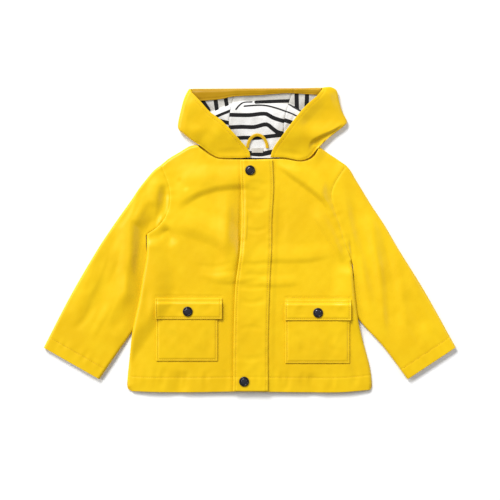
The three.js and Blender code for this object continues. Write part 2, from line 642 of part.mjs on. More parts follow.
const HOOD_SIZE = { wide: 70, tall: 130, edgeDrop: 1, edgeOver: 14 };
function hoodSide(name, rim, turn, low, seamX, mirror) {
  const top = straight(rim(0), turn(0));
  const upper = patch(top, low, rim, turn);
  const seam = straight([seamX, HOOD.topY], [seamX, HOOD.baseY]);
  const lower = patch(straight(turn(0), seam(0)), straight(turn(1), seam(1)), turn, seam);
  const us = steps(6, HOOD_SIZE.wide, { far: [0, 0.8, 2.5, 6] });
  const base = steps(4, HOOD_SIZE.wide, { near: [0, 0.8, 2.5, 6] });
  const rows = steps(16, HOOD_SIZE.tall, { near: [0, 3], far: [0, 3] }).map((v) => {
    const across = Math.hypot(...[0, 1].map((k) => upper(1, v)[k] - upper(0, v)[k]));
    const radius = Math.min(HOOD_TURN, across * 0.7);
    const [edgeX, edgeY] = turn(v);
    const edge = hoodHeight(edgeX, edgeY) - HOOD_SIZE.edgeDrop;
    const folded = us.map((u) => {
      const [x, y] = upper(u, v);
      const high = mix(edge, hoodHeight(x, y), ease((1 - u) * across / HOOD_SIZE.edgeOver));
      return [x, y, high * (1 + turned((1 - u) * across, radius)) / 2];
    });
    const beneath = base.slice(1).map((u) => {
      const [x, y] = lower(u, v);
      const inset = Math.hypot(x - edgeX, y - edgeY);
      return [x, y, edge * (1 - turned(inset, radius)) / 2];
    });
    return [...folded, ...beneath];
  });
  add(name, wall(rows, CLOTH, { outward: mirror }), cloth(YELLOW));
}
const { rimRight, turnRight, lowRight, rimLeft, turnLeft, lowLeft } = hoodPath;
hoodSide("hood_side_right", rimRight, turnRight, lowRight, HOOD.seamRight, 1);
hoodSide("hood_side_left", rimLeft, turnLeft, lowLeft, HOOD.seamLeft, -1);

// Centre strip of the hood, on the table between the sides
{
  const place = box(HOOD.seamRight + SEAM_GAP, HOOD.seamLeft - SEAM_GAP, HOOD.baseY + SEAM_GAP, HOOD.topY);
  const rows = gridOf(steps(3), steps(4), place, () => 0);
  add("hood_centre", wall(rows, CLOTH, { outward: -1 }), cloth(YELLOW));
}

// Crown of the hood, folded away between the shell and the lining: one rounded solid
{
  const outline = smooth([[-84, 176], [-88, 190], [-80, 204], [-50, 209], [15, 212], [75, 214], [106, 206],
    [114, 190], [110, 174], [92, 158], [60, 147], [15, 143], [-40, 147], [-72, 158], [-84, 176]]);
  const middle = [15, 178];
  const rings = [1, 0.97, 0.9, 0.75, 0.55, 0.3, 0];
  const count = 28;
  const low = CLOTH + 0.35;
  const thinnest = 0.5;
  const clear = 0.9;
  const under = (x, y) => Math.min(
    liningHeight(x, y) - LINING_CLOTH - clear,
    hoodHeight(x, y) - CLOTH - clear - 0.2,
  );
  // The lowest ceiling in a patch round a place
  const roof = (x, y) => Math.min(
    ...[-18, -9, 0, 9].flatMap((dy) => [-8, 0, 8].map((dx) => under(x + dx, y + dy))),
  );
  const points = [];
  for (const side of [0, 1]) {
    rings.forEach((share) => {
      for (let i = 0; i < (share ? count : 1); i++) {
        const edge = outline(i / count);
        const [x, y] = [mix(middle[0], edge[0], share), mix(middle[1], edge[1], share)];
        const swell = Math.sqrt(1 - share ** 6);
        const high = low + thinnest + Math.max(roof(x, y) - low - thinnest, 0) * swell;
        points.push(x, y, side ? low : high);
      }
    });
  }
  const face = [];
  const layer = count * (rings.length - 1) + 1;
  for (let k = 0; k < rings.length - 1; k++) {
    for (let i = 0; i < count; i++) {
      const next = (i + 1) % count;
      const [a, b] = [k * count + i, k * count + next];
      const [c, d] = k === rings.length - 2 ? [layer - 1, layer - 1] : [b + count, a + count];
      // The outline runs clockwise, seen from above
      face.push(a, d, b, a + layer, b + layer, d + layer);
      if (c !== d) face.push(b, d, c, b + layer, c + layer, d + layer);
      if (k === 0) face.push(a, b, b + layer, a, b + layer, a + layer);
    }
  }
  const geometry = new THREE.BufferGeometry();
  geometry.setAttribute("position", new THREE.Float32BufferAttribute(points, 3));
  geometry.setIndex(face);
  add("hood_crown", geometry, cloth(0xe9e7e2));
}

// Lining where the rim frames it: its centre strip and a part of each side
const LINING = {
  low: 117.5,
  seamRightLow: -17,
  seamLeftLow: 38,
  seamRight: -31,
  seamLeft: 52,
  outRight: -70,
  outLeft: 88,
  underFacing: 5,
  underHood: 0.6,
};
const liningTop = (x) => read(FACING_LOW, x) + LINING.underFacing;
const LINING_STEPS = [0, 0.14, 0.26, 0.38, 0.5, 0.62, 0.72, 0.79, 0.84, 0.87, 0.893, 0.915, 0.95, 1];
const liningMaterial = cloth(0xf1efeb);
function lining(name, low, high, start, end, count) {
  const place = patch(low, high, start, end);
  const height = (x, y) => Math.min(liningHeight(x, y), hoodHeight(x, y) - CLOTH - LINING.underHood);
  add(name, wall(gridOf(steps(count), LINING_STEPS, place, height), LINING_CLOTH), liningMaterial);
}
{
  const { low, seamRightLow, seamLeftLow, seamRight, seamLeft, outRight, outLeft } = LINING;
  const gap = SEAM_GAP / 2;
  const rightSeam = (side) => smooth([[seamRightLow + side, low], [-29 + side, 150], [seamRight + side, 180],
    [-24 + side, liningTop(-24)]]);
  const leftSeam = (side) => smooth([[seamLeftLow + side, low], [50 + side, 150], [seamLeft + side, 180],
    [64 + side, liningTop(64)]]);
  const [rightOuter, rightInner] = [rightSeam(-gap), rightSeam(gap)];
  const [leftInner, leftOuter] = [leftSeam(-gap), leftSeam(gap)];
  const between = (a, b) => [straight(a(0), b(0)), straight(a(1), b(1)), a, b];
  const outerRight = smooth([[-32, 125], [-52, 150], [outRight, 182], [-82, liningTop(-82)]]);
  const outerLeft = smooth([[50, 128], [72, 156], [outLeft, 186], [106, liningTop(106)]]);
  lining("hood_lining_centre", ...between(rightInner, leftInner), 6);
  lining("hood_lining_right", ...between(outerRight, rightOuter), 4);
  lining("hood_lining_left", ...between(leftOuter, outerLeft), 4);
}

// Facing inside the rim: it tilts down from the hood's top edge, and turns over it
const FACING = { low: 9.4, tilt: 1.8, tiltOver: 0.83, bow: 0.6, wide: 14, turn: 6, turnFrom: 221 };
{
  const low = smooth(FACING_LOW);
  const high = straight([-85.5, HOOD.topY - 0.3], [108, HOOD.topY + 0.6]);
  const place = patch(low, high, straight(low(0), high(0)), straight(low(1), high(1)));
  const height = (x, y, u, v) => {
    const free = FACING.low + FACING.tilt * clamp(v / FACING.tiltOver) - FACING.bow * Math.abs(2 * u - 1);
    return mix(CLOTH + 0.4, free, turned((1 - v) * FACING.wide, FACING.turn));
  };
  const rows = gridOf(steps(10), steps(3, FACING.wide, { far: [0, 0.6, 2, 4] }), place, height);
  const floor = (x, y) => (y > FACING.turnFrom ? CLOTH + 0.4 : 0);
  add("hood_facing", wall(rows, CLOTH, { floor }), cloth(0xc89f20));
}

// Hanging loop at the back of the neck, and the bare tab beneath it
const LOOP = { x: 11.5, base: 137.5, wide: 17, tall: 22, strip: 4.6, thick: 1.2, lay: 0.5, bow: 0.5 };
const TAB = { x0: 3, x1: 20, y0: 130.5, y1: 138, thick: 0.8, lay: 0.4 };
{
  const rows = steps(14).map((v) => [1, 0.5, 0].map((across) => {
    const angle = Math.PI * (1 - v);
    const inset = LOOP.strip * (1 - across);
    const x = LOOP.x + (LOOP.wide - inset) * Math.cos(angle);
    const y = LOOP.base + (LOOP.tall - inset) * Math.sin(angle);
    return [x, y, liningHeight(x, y) + LOOP.lay + LOOP.thick + LOOP.bow * Math.sin(angle)];
  }));
  add("hanging_loop", wall(rows, LOOP.thick), cloth(YELLOW));
  const top = (x, y) => liningHeight(x, y) + TAB.lay + TAB.thick;
  const tab = gridOf(steps(2), steps(2), box(TAB.x0, TAB.x1, TAB.y0, TAB.y1), top);
  add("size_tab", wall(tab, TAB.thick), cloth(0xd8d6d2));
}

export default group;
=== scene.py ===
# Child's hooded raincoat of coated cloth, laid flat on its back, with the hood collapsed.
# Lengths are millimetres, apart from the paths that are given in the photograph's pixels.
# +X is the wearer's left, +Y is towards the hood, and z = 0 is the table.
import math

import bpy
import numpy as np
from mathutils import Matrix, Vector


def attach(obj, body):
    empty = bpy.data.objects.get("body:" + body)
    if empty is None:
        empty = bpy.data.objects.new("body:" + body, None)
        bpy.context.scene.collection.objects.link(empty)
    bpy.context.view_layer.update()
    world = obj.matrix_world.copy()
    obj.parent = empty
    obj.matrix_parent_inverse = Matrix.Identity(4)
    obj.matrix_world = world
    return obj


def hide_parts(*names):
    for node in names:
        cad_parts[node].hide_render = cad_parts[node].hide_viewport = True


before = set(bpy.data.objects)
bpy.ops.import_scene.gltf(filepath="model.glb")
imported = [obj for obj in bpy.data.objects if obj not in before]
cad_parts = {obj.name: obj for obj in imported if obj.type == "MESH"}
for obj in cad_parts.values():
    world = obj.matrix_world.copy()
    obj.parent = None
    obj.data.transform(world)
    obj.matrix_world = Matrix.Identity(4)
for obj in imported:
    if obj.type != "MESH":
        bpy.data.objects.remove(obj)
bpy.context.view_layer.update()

MM = 0.001

# Camera: straight above, on the photograph's frame of 500 by 500 pixels at 1.5 mm each
PHOTO_PIXELS = 500
MM_PER_PIXEL = 1.5
PIXEL_X0 = 249.75
PIXEL_Y0 = 239.75
CAMERA_HIGH = 2400
CLOTH_LEVEL = 7
SENSOR = 36


def photo(points):
    """Places of the photograph, in pixels, as millimetres on the table."""
    return [[MM_PER_PIXEL * (px - PIXEL_X0), MM_PER_PIXEL * (PIXEL_Y0 - py)] for px, py in points]


def photo_folds(folds):
    """Creases with their paths in the photograph's pixels, as creases in millimetres."""
    return [(depth, left, right, photo(path)) for depth, left, right, path in folds]


def make_camera():
    data = bpy.data.cameras.new("camera")
    data.sensor_width = SENSOR
    data.lens = SENSOR * (CAMERA_HIGH - CLOTH_LEVEL) / (PHOTO_PIXELS * MM_PER_PIXEL)
    data.clip_start, data.clip_end = 0.1, 20
    camera = bpy.data.objects.new("camera", data)
    x, y = photo([(PHOTO_PIXELS / 2, PHOTO_PIXELS / 2)])[0]
    camera.location = (x * MM, y * MM, CAMERA_HIGH * MM)
    bpy.context.scene.collection.objects.link(camera)
    bpy.context.scene.camera = camera


make_camera()

# Thickness of the cloths, and the room at seams and between layers
CLOTH = 1.4
PLACKET_CLOTH = 2
LINING_CLOTH = 1
SEAM_GAP = 0.2
LAY_GAP = 0.5

# Heights of the layers, and how far from an edge they come down to it
SLEEVE_HIGH = 6.6
SLEEVE_UNDER_BODY = 4.5
SLEEVE_LOWEST = 3.2
BODY_LIFT = 5.5
BODY_SLACK = 3.2
SEAM_HIGH = 6.6
TURN_RADIUS = 5
SLEEVE_TURN = 4
HOOD_TURN = 6

# Places on the laid coat
CENTRE_X = 9.5
HEM_X = -178
HEM_Y = -228
NECK_Y = 120.5
ARMPIT_RIGHT_Y = 8
ARMPIT_LEFT_Y = -33.5

# Sizes that the meshes are divided by: across and along
BODY_WIDE, BODY_TALL = 360, 350
FRONT_WIDE, FRONT_TALL = 175, 348
PLACKET_WIDE = 52
SLEEVE_WIDE, SLEEVE_LONG = 130, 300
HOOD_WIDE, HOOD_TALL = 70, 130
CENTRE_WIDE, CENTRE_TALL = 82.6, 88
LINING_TALL = 104
FACING_WIDE, FACING_TALL = 194, 14

OUTLINE = {
    "sideRight": [[-178, -227.5], [-183.5, -222.5], [-184, -210], [-181, -180], [-176, -137], [-166, -90], [-161, -59],
                  [-154.8, -23], [-155, 8]],
    "sideLeft": [[182, -225.5], [183.5, -218], [180.5, -191], [168.5, -146], [162.5, -119], [156.5, -68],
                 [153.5, -33.5]],
    "armholeRight": [[-155, 8], [-140.5, 17.5], [-129.5, 29.5], [-122.5, 43], [-119.5, 59.5], [-121, 80.5],
                     [-133, 113]],
    "armholeLeft": [[153.5, -33.5], [141.5, -0.5], [134, 26.5], [126.5, 47.5], [122, 65.5], [126.5, 83.5], [145, 112]],
    "shoulderRight": [[-133, 113], [-121, 122.5], [-106, 131.5], [-91, 140.3], [-79.5, 143]],
    "shoulderLeft": [[145, 112], [129.5, 122.5], [116, 131.5], [104.5, 140]],
    "neckRight": [[-79.5, 143], [-73, 136.5], [-59.5, 126.5], [-46, 121.3], [-16, NECK_Y], [CENTRE_X, NECK_Y]],
    "neckLeft": [[104.5, 140], [101, 132.5], [96, 125], [88, 119.6], [75.5, 117.2], [53, 120.6], [33.5, 121.3],
                 [CENTRE_X, NECK_Y]],
    "neckBack": [[-79.5, 143], [-45, 140], [12, 138.5], [70, 139], [104.5, 140]],
    "outerRight": [[-134.4, 112.4], [-143.5, 104.5], [-152, 95], [-166, 77.5], [-178, 59.5], [-203.5, 23.5],
                   [-227.5, -12.5], [-269.5, -84.5], [-309.5, -162]],
    "outerLeft": [[146.4, 111.2], [151, 104.5], [157, 94], [167, 77.5], [183.5, 50.5], [201.5, 23.5], [222.5, -12.5],
                  [261.5, -75.5], [309.5, -161.5]],
    "underRight": [[-155.6, 6], [-155.8, -7], [-154.6, -19], [-151, -33], [-146, -48], [-144, -68], [-149.5, -98],
                   [-163, -119.5], [-176, -137], [-226, -209.5]],
    "underLeft": [[154.6, -37], [155.4, -48], [155.8, -60], [152.5, -78], [154.5, -99.5], [164.5, -120.5], [201, -161],
                  [237, -209.5]],
    "hem": [[HEM_X, -227.5], [-134.5, -228.8], [-89.5, -229], [-14.5, HEM_Y], [75.5, -229], [135.5, -229],
            [182, -225.5]],
}

HOOD = {
    "rimRight": [[-88, 222], [-73, 206.5], [-59.5, 191.5], [-41.5, 178], [-17.5, 152.5], [-1, 133], [1, 123.5]],
    "rimLeft": [[107, 224], [101, 216], [90.5, 207], [78.5, 195], [62.5, 175], [50.5, 158.5], [35.5, 137.5],
                [30.5, 123.5]],
    "turnRight": [[-90.5, 227], [-95, 220], [-99.5, 209], [-104, 192], [-108, 172], [-106.5, 165], [-98.5, 158],
                  [-88, 150], [-80, 144.6]],
    "turnLeft": [[111, 229], [122, 229.3], [130.5, 224], [134, 209.5], [139, 192.5], [146, 178.5], [145, 174],
                 [126.5, 159], [104, 142]],
    "lowRight": [[1, 123.5], [-16, 122.4], [-45, 123.6], [-57.6, 129.3], [-70.6, 139.6], [-79, 144.9]],
    "lowLeft": [[30.5, 123.5], [53, 123], [75, 119.2], [86.6, 122.4], [93, 128], [97.4, 135.2], [102.6, 142]],
}
HOOD_SEAM_RIGHT = -31.5
HOOD_SEAM_LEFT = 51.5
HOOD_TOP_Y = 227.5
HOOD_BASE_Y = 139.6

# Line of the roof fold across the lining, and the facing's lower edge
ROOF = [[-90, 178], [-67, 187], [-54, 193], [-25, 205], [-8.5, 207.5], [23, 205], [60.5, 203], [78.5, 193], [110, 176]]
FACING_LOW = [[-88, 207], [-44.5, 210.5], [-25, 214.5], [15.5, 216.5], [56.5, 219.5], [104, 217]]

# Creases: depth (below 0 for a trough), width to the left and to the right of the path, path
BODY_FOLDS = [
    (3.4, 36, 12, [[-117, 45], [-106, 56], [-93, 66], [-73, 76], [-48, 83],
        [-6, 86], [27, 81]]),  # right chest drag line
    (3, 30, 20, [[-135, 33], [-120, 30], [-99, 24], [-73, 15], [-47, 6],
        [-27, -11], [-10, -36], [0, -66]]),  # right side drag line
    (-2.4, 12, 12, [[-140, 10], [-126, 12], [-112, -10]]),  # right armpit trough
    (-3.2, 8, 24, [[-14, 102], [-13, 72], [-13, 39], [-15, -9], [-18, -42]]),  # trough along the storm flap
    (1.8, 16, 26, [[-36, 75], [-36, 51], [-36, 24], [-36, 0], [-31, -27]]),  # ridge beside that trough
    (4, 26, 10, [[30, 135], [51, 111], [73, 94], [95, 78], [117, 58],
        [129, 37], [141, 13], [147, -15]]),  # left chest drag line
    (2.4, 15, 9, [[90, 54], [107, 27], [122, 3], [134, -18], [143, -45]]),  # left side drag line
    (1.5, 22, 10, [[0, -29], [33, -27], [60, -27], [87, -26], [129, -18]]),  # left waist ridge
    (1.1, 14, 8, [[3, -64], [27, -65], [45, -65], [81, -62]]),  # left lower waist ridge
    (1.1, 14, 8, [[-69, -56], [-45, -60], [-24, -60], [9, -57]]),  # right lower waist ridge
    (1.4, 22, 18, [[-112, 92], [-86, 96], [-48, 94]]),  # right shoulder ridge
    (-1.5, 20, 14, [[-112, -240], [-106, -214], [-104, -194]]),  # right hem ripple
    (-1.5, 16, 20, [[96, -240], [92, -216], [90, -198]]),  # left hem ripple
]

SLEEVE_FOLDS = [
    (-3, 9, 14, [[-124, 86], [-127, 58], [-131, 24]]),  # right cap notch
    (2, 16, 14, [[-138, 96], [-143, 66], [-146, 46]]),  # right cap ridge
    (-5, 8, 30, [[-134, 54], [-141, 30], [-147, 6], [-150, -15], [-153, -39],
        [-158, -63], [-164, -87]]),  # right underarm trough
    (4.6, 34, 26, [[-189, 72], [-180, 36], [-178, 3], [-180, -24], [-174, -53],
        [-183, -90], [-195, -126]]),  # right inner ridge
    (-1.6, 18, 20, [[-202, -22], [-218, -70], [-232, -122]]),  # right elbow trough
    (-1.6, 14, 16, [[-178, -80], [-190, -110], [-206, -144]]),  # right inner trough
    (1.4, 16, 18, [[-222, -34], [-246, -80], [-270, -130]]),  # right outer ridge
    (-2.6, 16, 14, [[150, 92], [163, 22], [181, -48], [198, -117]]),  # left underarm trough
    (-2.4, 20, 16, [[194, 22], [209, -50], [216, -120], [220, -166]]),  # left long trough
    (2, 14, 14, [[176, 44], [192, -16], [205, -70]]),  # left inner ridge
    (1.5, 18, 18, [[214, 6], [238, -50], [260, -110]]),  # left outer ridge
    (-1.2, 14, 16, [[232, -74], [246, -104], [262, -140]]),  # left elbow trough
]

HOOD_FOLDS = [
    (-3, 14, 4, [[147, 175], [127, 162], [106, 152], [94, 145], [92, 130]]),  # left lower crease
    (-1.6, 22, 22, [[-98, 196], [-76, 176], [-50, 150]]),  # right soft trough
    (-1.8, 22, 22, [[128, 206], [104, 184], [78, 160]]),  # left soft trough
]

PLACKET_FOLDS = [
    (-0.5, 9, 9, [[-16, 66], [10, 56], [34, 62]]),  # upper dimple
    (-0.5, 6, 7, [[-18, -34], [8, -37], [34, -33]]),  # waist crease high
    (-0.4, 6, 6, [[-20, -55], [6, -52], [32, -56]]),  # waist crease middle
    (-0.5, 7, 6, [[-22, -70], [6, -72], [32, -68]]),  # waist crease low
]

# Finer creases, with their paths in the photograph's pixels
FINE_BODY = photo_folds([
    (-0.9, 5, 7, [(165, 228), (169, 234), (173, 241)]),  # right armpit pinch
    (-0.8, 6, 7, [(177, 178), (182, 183), (188, 191)]),  # right shoulder pinch
    (-0.4, 6, 7, [(190, 264), (214, 267), (237, 262)]),
    (0.5, 7, 7, [(196, 274), (216, 277), (237, 274)]),
    (-0.6, 7, 9, [(160, 392), (162, 378), (166, 366)]),  # this row and the six after it: hem ripples
    (-0.5, 6, 8, [(184, 393), (186, 380), (185, 370)]),
    (-0.6, 8, 7, [(208, 393), (206, 380), (210, 368)]),
    (-0.5, 8, 6, [(226, 393), (227, 382), (225, 368)]),
    (-0.6, 8, 7, [(286, 393), (287, 380), (284, 370)]),
    (-0.5, 6, 8, [(304, 393), (302, 381), (305, 370)]),
    (-0.6, 9, 7, [(331, 393), (332, 378), (328, 368)]),
    (-0.7, 8, 9, [(352, 392), (355, 374), (349, 350)]),  # left side seam pull
    (-0.7, 9, 8, [(142, 330), (147, 305), (146, 282)]),  # right side seam pull
    (-0.6, 10, 12, [(214, 172), (226, 190), (231, 214)]),  # right of the flap, upper
    (-0.5, 9, 11, [(280, 206), (283, 226), (279, 246)]),
])
# On the fronts beside the storm flap: two troughs and a ridge on the wearer's right, in pixels, and a ridge on the left
FLAP_SIDE_FOLDS = photo_folds([
    (-2.8, 4, 22, [(249.4, 186), (249.5, 214), (248, 250), (245.4, 271), (243, 286), (240, 302)]),
    (2.0, 26, 22, [(232, 184), (231.5, 210), (231, 236), (229, 260), (226, 280), (223, 300)]),
    (-1.6, 4, 14, [(245.4, 140), (246.4, 214), (244.5, 250), (240.4, 286), (238.8, 332), (238.4, 430)]),
]) + [
    (1.0, 9, 6, [[37, 130], [38, 77], [35.5, 30], [35, -15], [32.5, -62], [30, -153], [30, -250]]),
]
# Trough of the sleeve on the wearer's left, close beside the body
UNDERARM_FOLDS = photo_folds([
    (-2.4, 14, 4, [(350, 232), (352, 252), (353.5, 266), (355.5, 284), (359, 302), (363, 322)]),
])
FINE_SLEEVE = photo_folds([
    (-1.0, 6, 9, [(148, 226), (141, 246), (138, 263), (140, 279)]),  # right underarm line
    (-0.8, 7, 8, [(126, 262), (131, 280), (131, 298)]),
    (0.7, 8, 9, [(118, 236), (113, 262), (103, 288)]),
    (-0.7, 8, 10, [(104, 250), (96, 274), (84, 296)]),
    (-0.7, 7, 9, [(134, 190), (128, 212), (116, 230)]),
    (0.6, 9, 8, [(150, 186), (143, 206), (134, 224)]),
    (-0.6, 8, 8, [(96, 300), (86, 318), (72, 332)]),
    (0.5, 7, 8, [(112, 300), (100, 322), (90, 340)]),
    (-0.9, 6, 8, [(349, 229), (351, 250), (357, 270), (364, 284)]),  # left underarm line
    (-0.8, 8, 9, [(374, 227), (384, 274), (388, 314), (388, 345)]),
    (0.7, 9, 8, [(386, 232), (396, 268), (404, 306)]),
    (-0.7, 8, 9, [(396, 250), (408, 280), (416, 306)]),
    (-0.6, 7, 8, [(362, 206), (368, 226), (371, 244)]),
    (0.6, 8, 8, [(356, 196), (364, 214), (378, 232)]),
    (-0.6, 8, 7, [(404, 318), (414, 332), (422, 348)]),
    (0.5, 8, 8, [(418, 300), (430, 322), (438, 336)]),
])
FINE_HOOD = photo_folds([
    (-1.3, 10, 4, [(347, 124), (334, 132), (320, 138), (313, 144), (311, 151)]),  # left lower fold's shadow
    (1.0, 12, 12, [(176, 110), (188, 124), (204, 138)]),
    (-0.7, 10, 12, [(186, 118), (200, 130), (222, 146)]),
    (0.9, 12, 12, [(338, 98), (326, 114), (306, 134)]),
    (-0.7, 10, 12, [(330, 92), (316, 108), (298, 130)]),
    (-0.6, 8, 8, [(214, 154), (232, 152), (246, 154)]),
    (-0.6, 8, 8, [(276, 152), (292, 154), (306, 158)]),
])
FINE_PLACKET = photo_folds([
    (-0.5, 7, 8, [(243, 186), (256, 183), (270, 187)]),
    (-0.6, 8, 7, [(242, 205), (258, 209), (271, 204)]),
    (-0.5, 6, 6, [(243, 228), (257, 231), (270, 227)]),
    (-0.5, 7, 6, [(238, 300), (252, 303), (268, 299)]),
    (-0.4, 6, 7, [(237, 330), (252, 327), (267, 331)]),
    (-0.4, 7, 7, [(236, 356), (250, 359), (267, 355)]),
])
FINE_LINING = photo_folds([
    (-0.9, 5, 6, [(214, 112), (226, 124), (236, 140)]),
    (0.7, 6, 7, [(222, 108), (236, 122), (246, 140)]),
    (-0.8, 6, 5, [(298, 110), (290, 124), (279, 140)]),
    (0.7, 7, 6, [(290, 106), (280, 122), (270, 138)]),
    (-0.6, 8, 8, [(258, 106), (256, 120), (259, 134)]),
])

# Stitch lines and grooves: how deep the cloth is pulled in, and how wide each side
GROOVE_DEEP = 0.26
GROOVE_WIDE = 1.7
HEM_STITCH = 22
CUFF_STITCH = 18
EDGE_STITCH = 2.6
PLACKET_STITCH = 3.6
RIM_STITCH = 5
FLAP_STITCH = 4.4
FLAP_SEAM = 3.4

# Rounding of a cloth's edge: its radius, and its share of half the thickness
EDGE_RADIUS = 0.9
EDGE_ROUND = 0.9

# Stitch: pitch, length and radius
STITCH_PITCH = 3.1
STITCH_LONG = 2.35
STITCH_RADIUS = 0.3


def clamp(t):
    return np.clip(t, 0, 1)


def ease(t):
    t = clamp(t)
    return t * t * (3 - 2 * t)


def mix(a, b, t):
    return a + (b - a) * t


def turned(distance, radius):
    """Quarter of an ellipse: 0 at the edge, 1 at a radius from it."""
    return np.sqrt(1 - (1 - clamp(distance / radius)) ** 2)


def bell(distance, wide):
    """A rounded bump: 1 in its middle, 0 at its half width."""
    return np.maximum(1 - (distance / wide) ** 2, 0) ** 2


def rounding(edge):
    """How much cloth is taken off its two faces near an edge, which makes the edge round."""
    return CLOTH / 2 * (1 - turned(edge, EDGE_RADIUS)) * EDGE_ROUND


def arrays(x, y):
    return np.broadcast_arrays(np.asarray(x, float), np.asarray(y, float))


def from_ends(shares, length):
    """Distance to the nearer end of a length, for shares of it."""
    return np.minimum(shares, 1 - shares) * length


def borders(us, vs, wide, tall):
    """Distance to the nearest edge of a patch, over its grid of shares."""
    return np.minimum(from_ends(us, wide)[None, :], from_ends(vs, tall)[:, None])


def laid(place, us, vs):
    """A patch's places over a grid of shares, as x and y."""
    found = place(us[None, :], vs[:, None])
    return found[..., 0], found[..., 1]


def smooth(points):
    """A smooth path through its points: a function of t, from 0 to 1."""
    points = np.array(points, float)
    at = np.concatenate([[0], np.cumsum(np.hypot(*np.diff(points, axis=0).T))])
    last = len(points) - 1
    before, after = np.maximum(np.arange(last + 1) - 1, 0), np.minimum(np.arange(last + 1) + 1, last)
    slope = (points[after] - points[before]) / (at[after] - at[before])[:, None]

    def path(t):
        s = clamp(np.asarray(t, float)) * at[last]
        i = np.clip(np.searchsorted(at, s) - 1, 0, last - 1)
        h = (at[i + 1] - at[i])[..., None]
        q = (s[..., None] - at[i][..., None]) / h
        return ((2 * q ** 3 - 3 * q ** 2 + 1) * points[i] + (q ** 3 - 2 * q ** 2 + q) * h * slope[i]
                + (3 * q ** 2 - 2 * q ** 3) * points[i + 1] + (q ** 3 - q ** 2) * h * slope[i + 1])

    return path


def straight(a, b):
    a, b = np.array(a, float), np.array(b, float)
    return lambda t: mix(a, b, np.asarray(t, float)[..., None])


def backwards(path):
    return lambda t: path(1 - np.asarray(t, float))


def part(path, start, end):
    return lambda t: path(mix(start, end, np.asarray(t, float)))


def joined(first, second, share):
    """Two paths end to end, the first up to t = share."""
    def path(t):
        t = np.asarray(t, float)
        return np.where((t <= share)[..., None], first(t / share), second((t - share) / (1 - share)))

    return path


def aside(path, distance):
    """A path moved sideways, to the left of its direction."""
    def moved(t):
        t = np.asarray(t, float)
        along = path(np.minimum(t + 0.01, 1)) - path(np.maximum(t - 0.01, 0))
        along = along / np.hypot(along[..., 0], along[..., 1])[..., None]
        return path(t) + distance * np.stack([-along[..., 1], along[..., 0]], -1)

    return moved


def patch(low, high, start, end):
    """A patch between four edges: low and high run along u, start and end run along v."""
    def place(u, v):
        u, v = arrays(u, v)
        share_u, share_v = u[..., None], v[..., None]
        corners = mix(mix(low(0.0), low(1.0), share_u), mix(high(0.0), high(1.0), share_u), share_v)
        return mix(low(u), high(u), share_v) + mix(start(v), end(v), share_u) - corners

    return place


def read(table, key):
    """A value read from rows of (key, value)."""
    table = sorted(table)
    return np.interp(key, [k for k, _ in table], [value for _, value in table])


def by_height(points):
    return [(y, x) for x, y in points]


def sampled(path, count):
    return path(np.linspace(0, 1, count + 1))


def nearest(line, x, y):
    """The nearest place on a line of points: its distance, its side, where +1 is left, and its share of the line."""
    best = np.full(np.shape(x), np.inf)
    side = np.ones(np.shape(x))
    along = np.zeros(np.shape(x))
    for i in range(len(line) - 1):
        (ax, ay), (dx, dy) = line[i], line[i + 1] - line[i]
        q = clamp(((x - ax) * dx + (y - ay) * dy) / (dx * dx + dy * dy))
        distance = np.hypot(x - ax - q * dx, y - ay - q * dy)
        closer = distance < best
        best = np.where(closer, distance, best)
        side = np.where(closer, np.where(dx * (y - ay) < dy * (x - ax), -1, 1), side)
        along = np.where(closer, (i + q) / (len(line) - 1), along)
    return best, side, along


def reach(lines, x, y):
    """Distance to the nearest of several lines."""
    return np.min([nearest(line, x, y)[0] for line in lines], axis=0)


def creased(folds):
    """The sum of a table of creases, as a function of a place."""
    lines = [(depth, left, right, sampled(smooth(path), 16)) for depth, left, right, path in folds]

    def height(x, y):
        x, y = arrays(x, y)
        total = np.zeros(x.shape)
        for depth, left, right, line in lines:
            wide = max(left, right)
            low, high = line.min(0) - wide, line.max(0) + wide
            inside = (x > low[0]) & (x < high[0]) & (y > low[1]) & (y < high[1])
            if inside.any():
                distance, side, along = nearest(line, x[inside], y[inside])
                across = bell(distance, np.where(side > 0, left, right))
                total[inside] += depth * across * ease(along / 0.3) * ease((1 - along) / 0.3)
        return total

    return height


def uneven(x, y, size, seed):
    """Soft unevenness between -1 and 1, with lumps of about the given size."""
    a, b = x / size, y / size
    return (np.sin(a * 1.7 + 1.3 * np.sin(b * 1.1 + seed) + seed) * np.sin(b * 1.9 + 1.1 * np.sin(a * 0.8 - seed))
            + 0.5 * np.sin(a * 3.1 - b * 2.3 + seed * 2.1)) / 1.5


def groove(distance, deep=GROOVE_DEEP, wide=GROOVE_WIDE):
    """The dip of a stitch line, and the slight puff of the cloth beside it."""
    return -deep * bell(distance, wide) + 0.2 * deep * bell(distance - 2 * wide, wide)


def pucker(distance, along, size, wide):
    """Small gathers across a seam, which die away from it. The place along it is in millimetres."""
    wave = np.sin(along / 2.3 + 1.6 * np.sin(along / 17) + 0.7 * np.sin(along / 6.1))
    return size * wave * np.exp(-(distance / wide) ** 2) * (0.6 + 0.4 * np.sin(along / 29))


def spread(length, pitch, near=(0,), far=(0,), marks=(), far_marks=()):
    """Shares of a length in even steps, finer at the ends and round the marks, which are in millimetres."""
    fine = [-1.9, -1.2, -0.6, 0, 0.6, 1.2, 1.9]
    close = sorted([*near, *(m + f for m in marks for f in fine)])
    remote = sorted(length - d for d in [*far, *(m + f for m in far_marks for f in fine)])
    fixed = np.array(sorted({round(v, 3) for v in [*close, *remote]}))
    found = [fixed[0]]
    for low, high in zip(fixed[:-1], fixed[1:]):
        count = max(int(math.ceil((high - low) / pitch)), 1)
        found.extend(np.linspace(low, high, count + 1)[1:])
    return clamp(np.array(found) / length)


# Distances of a mesh's first rows from an edge of the cloth
EDGE = [0, 0.2, 0.5, 0.9, 1.5, 2.4, 3.6, 5]
THIN_EDGE = EDGE[:4]


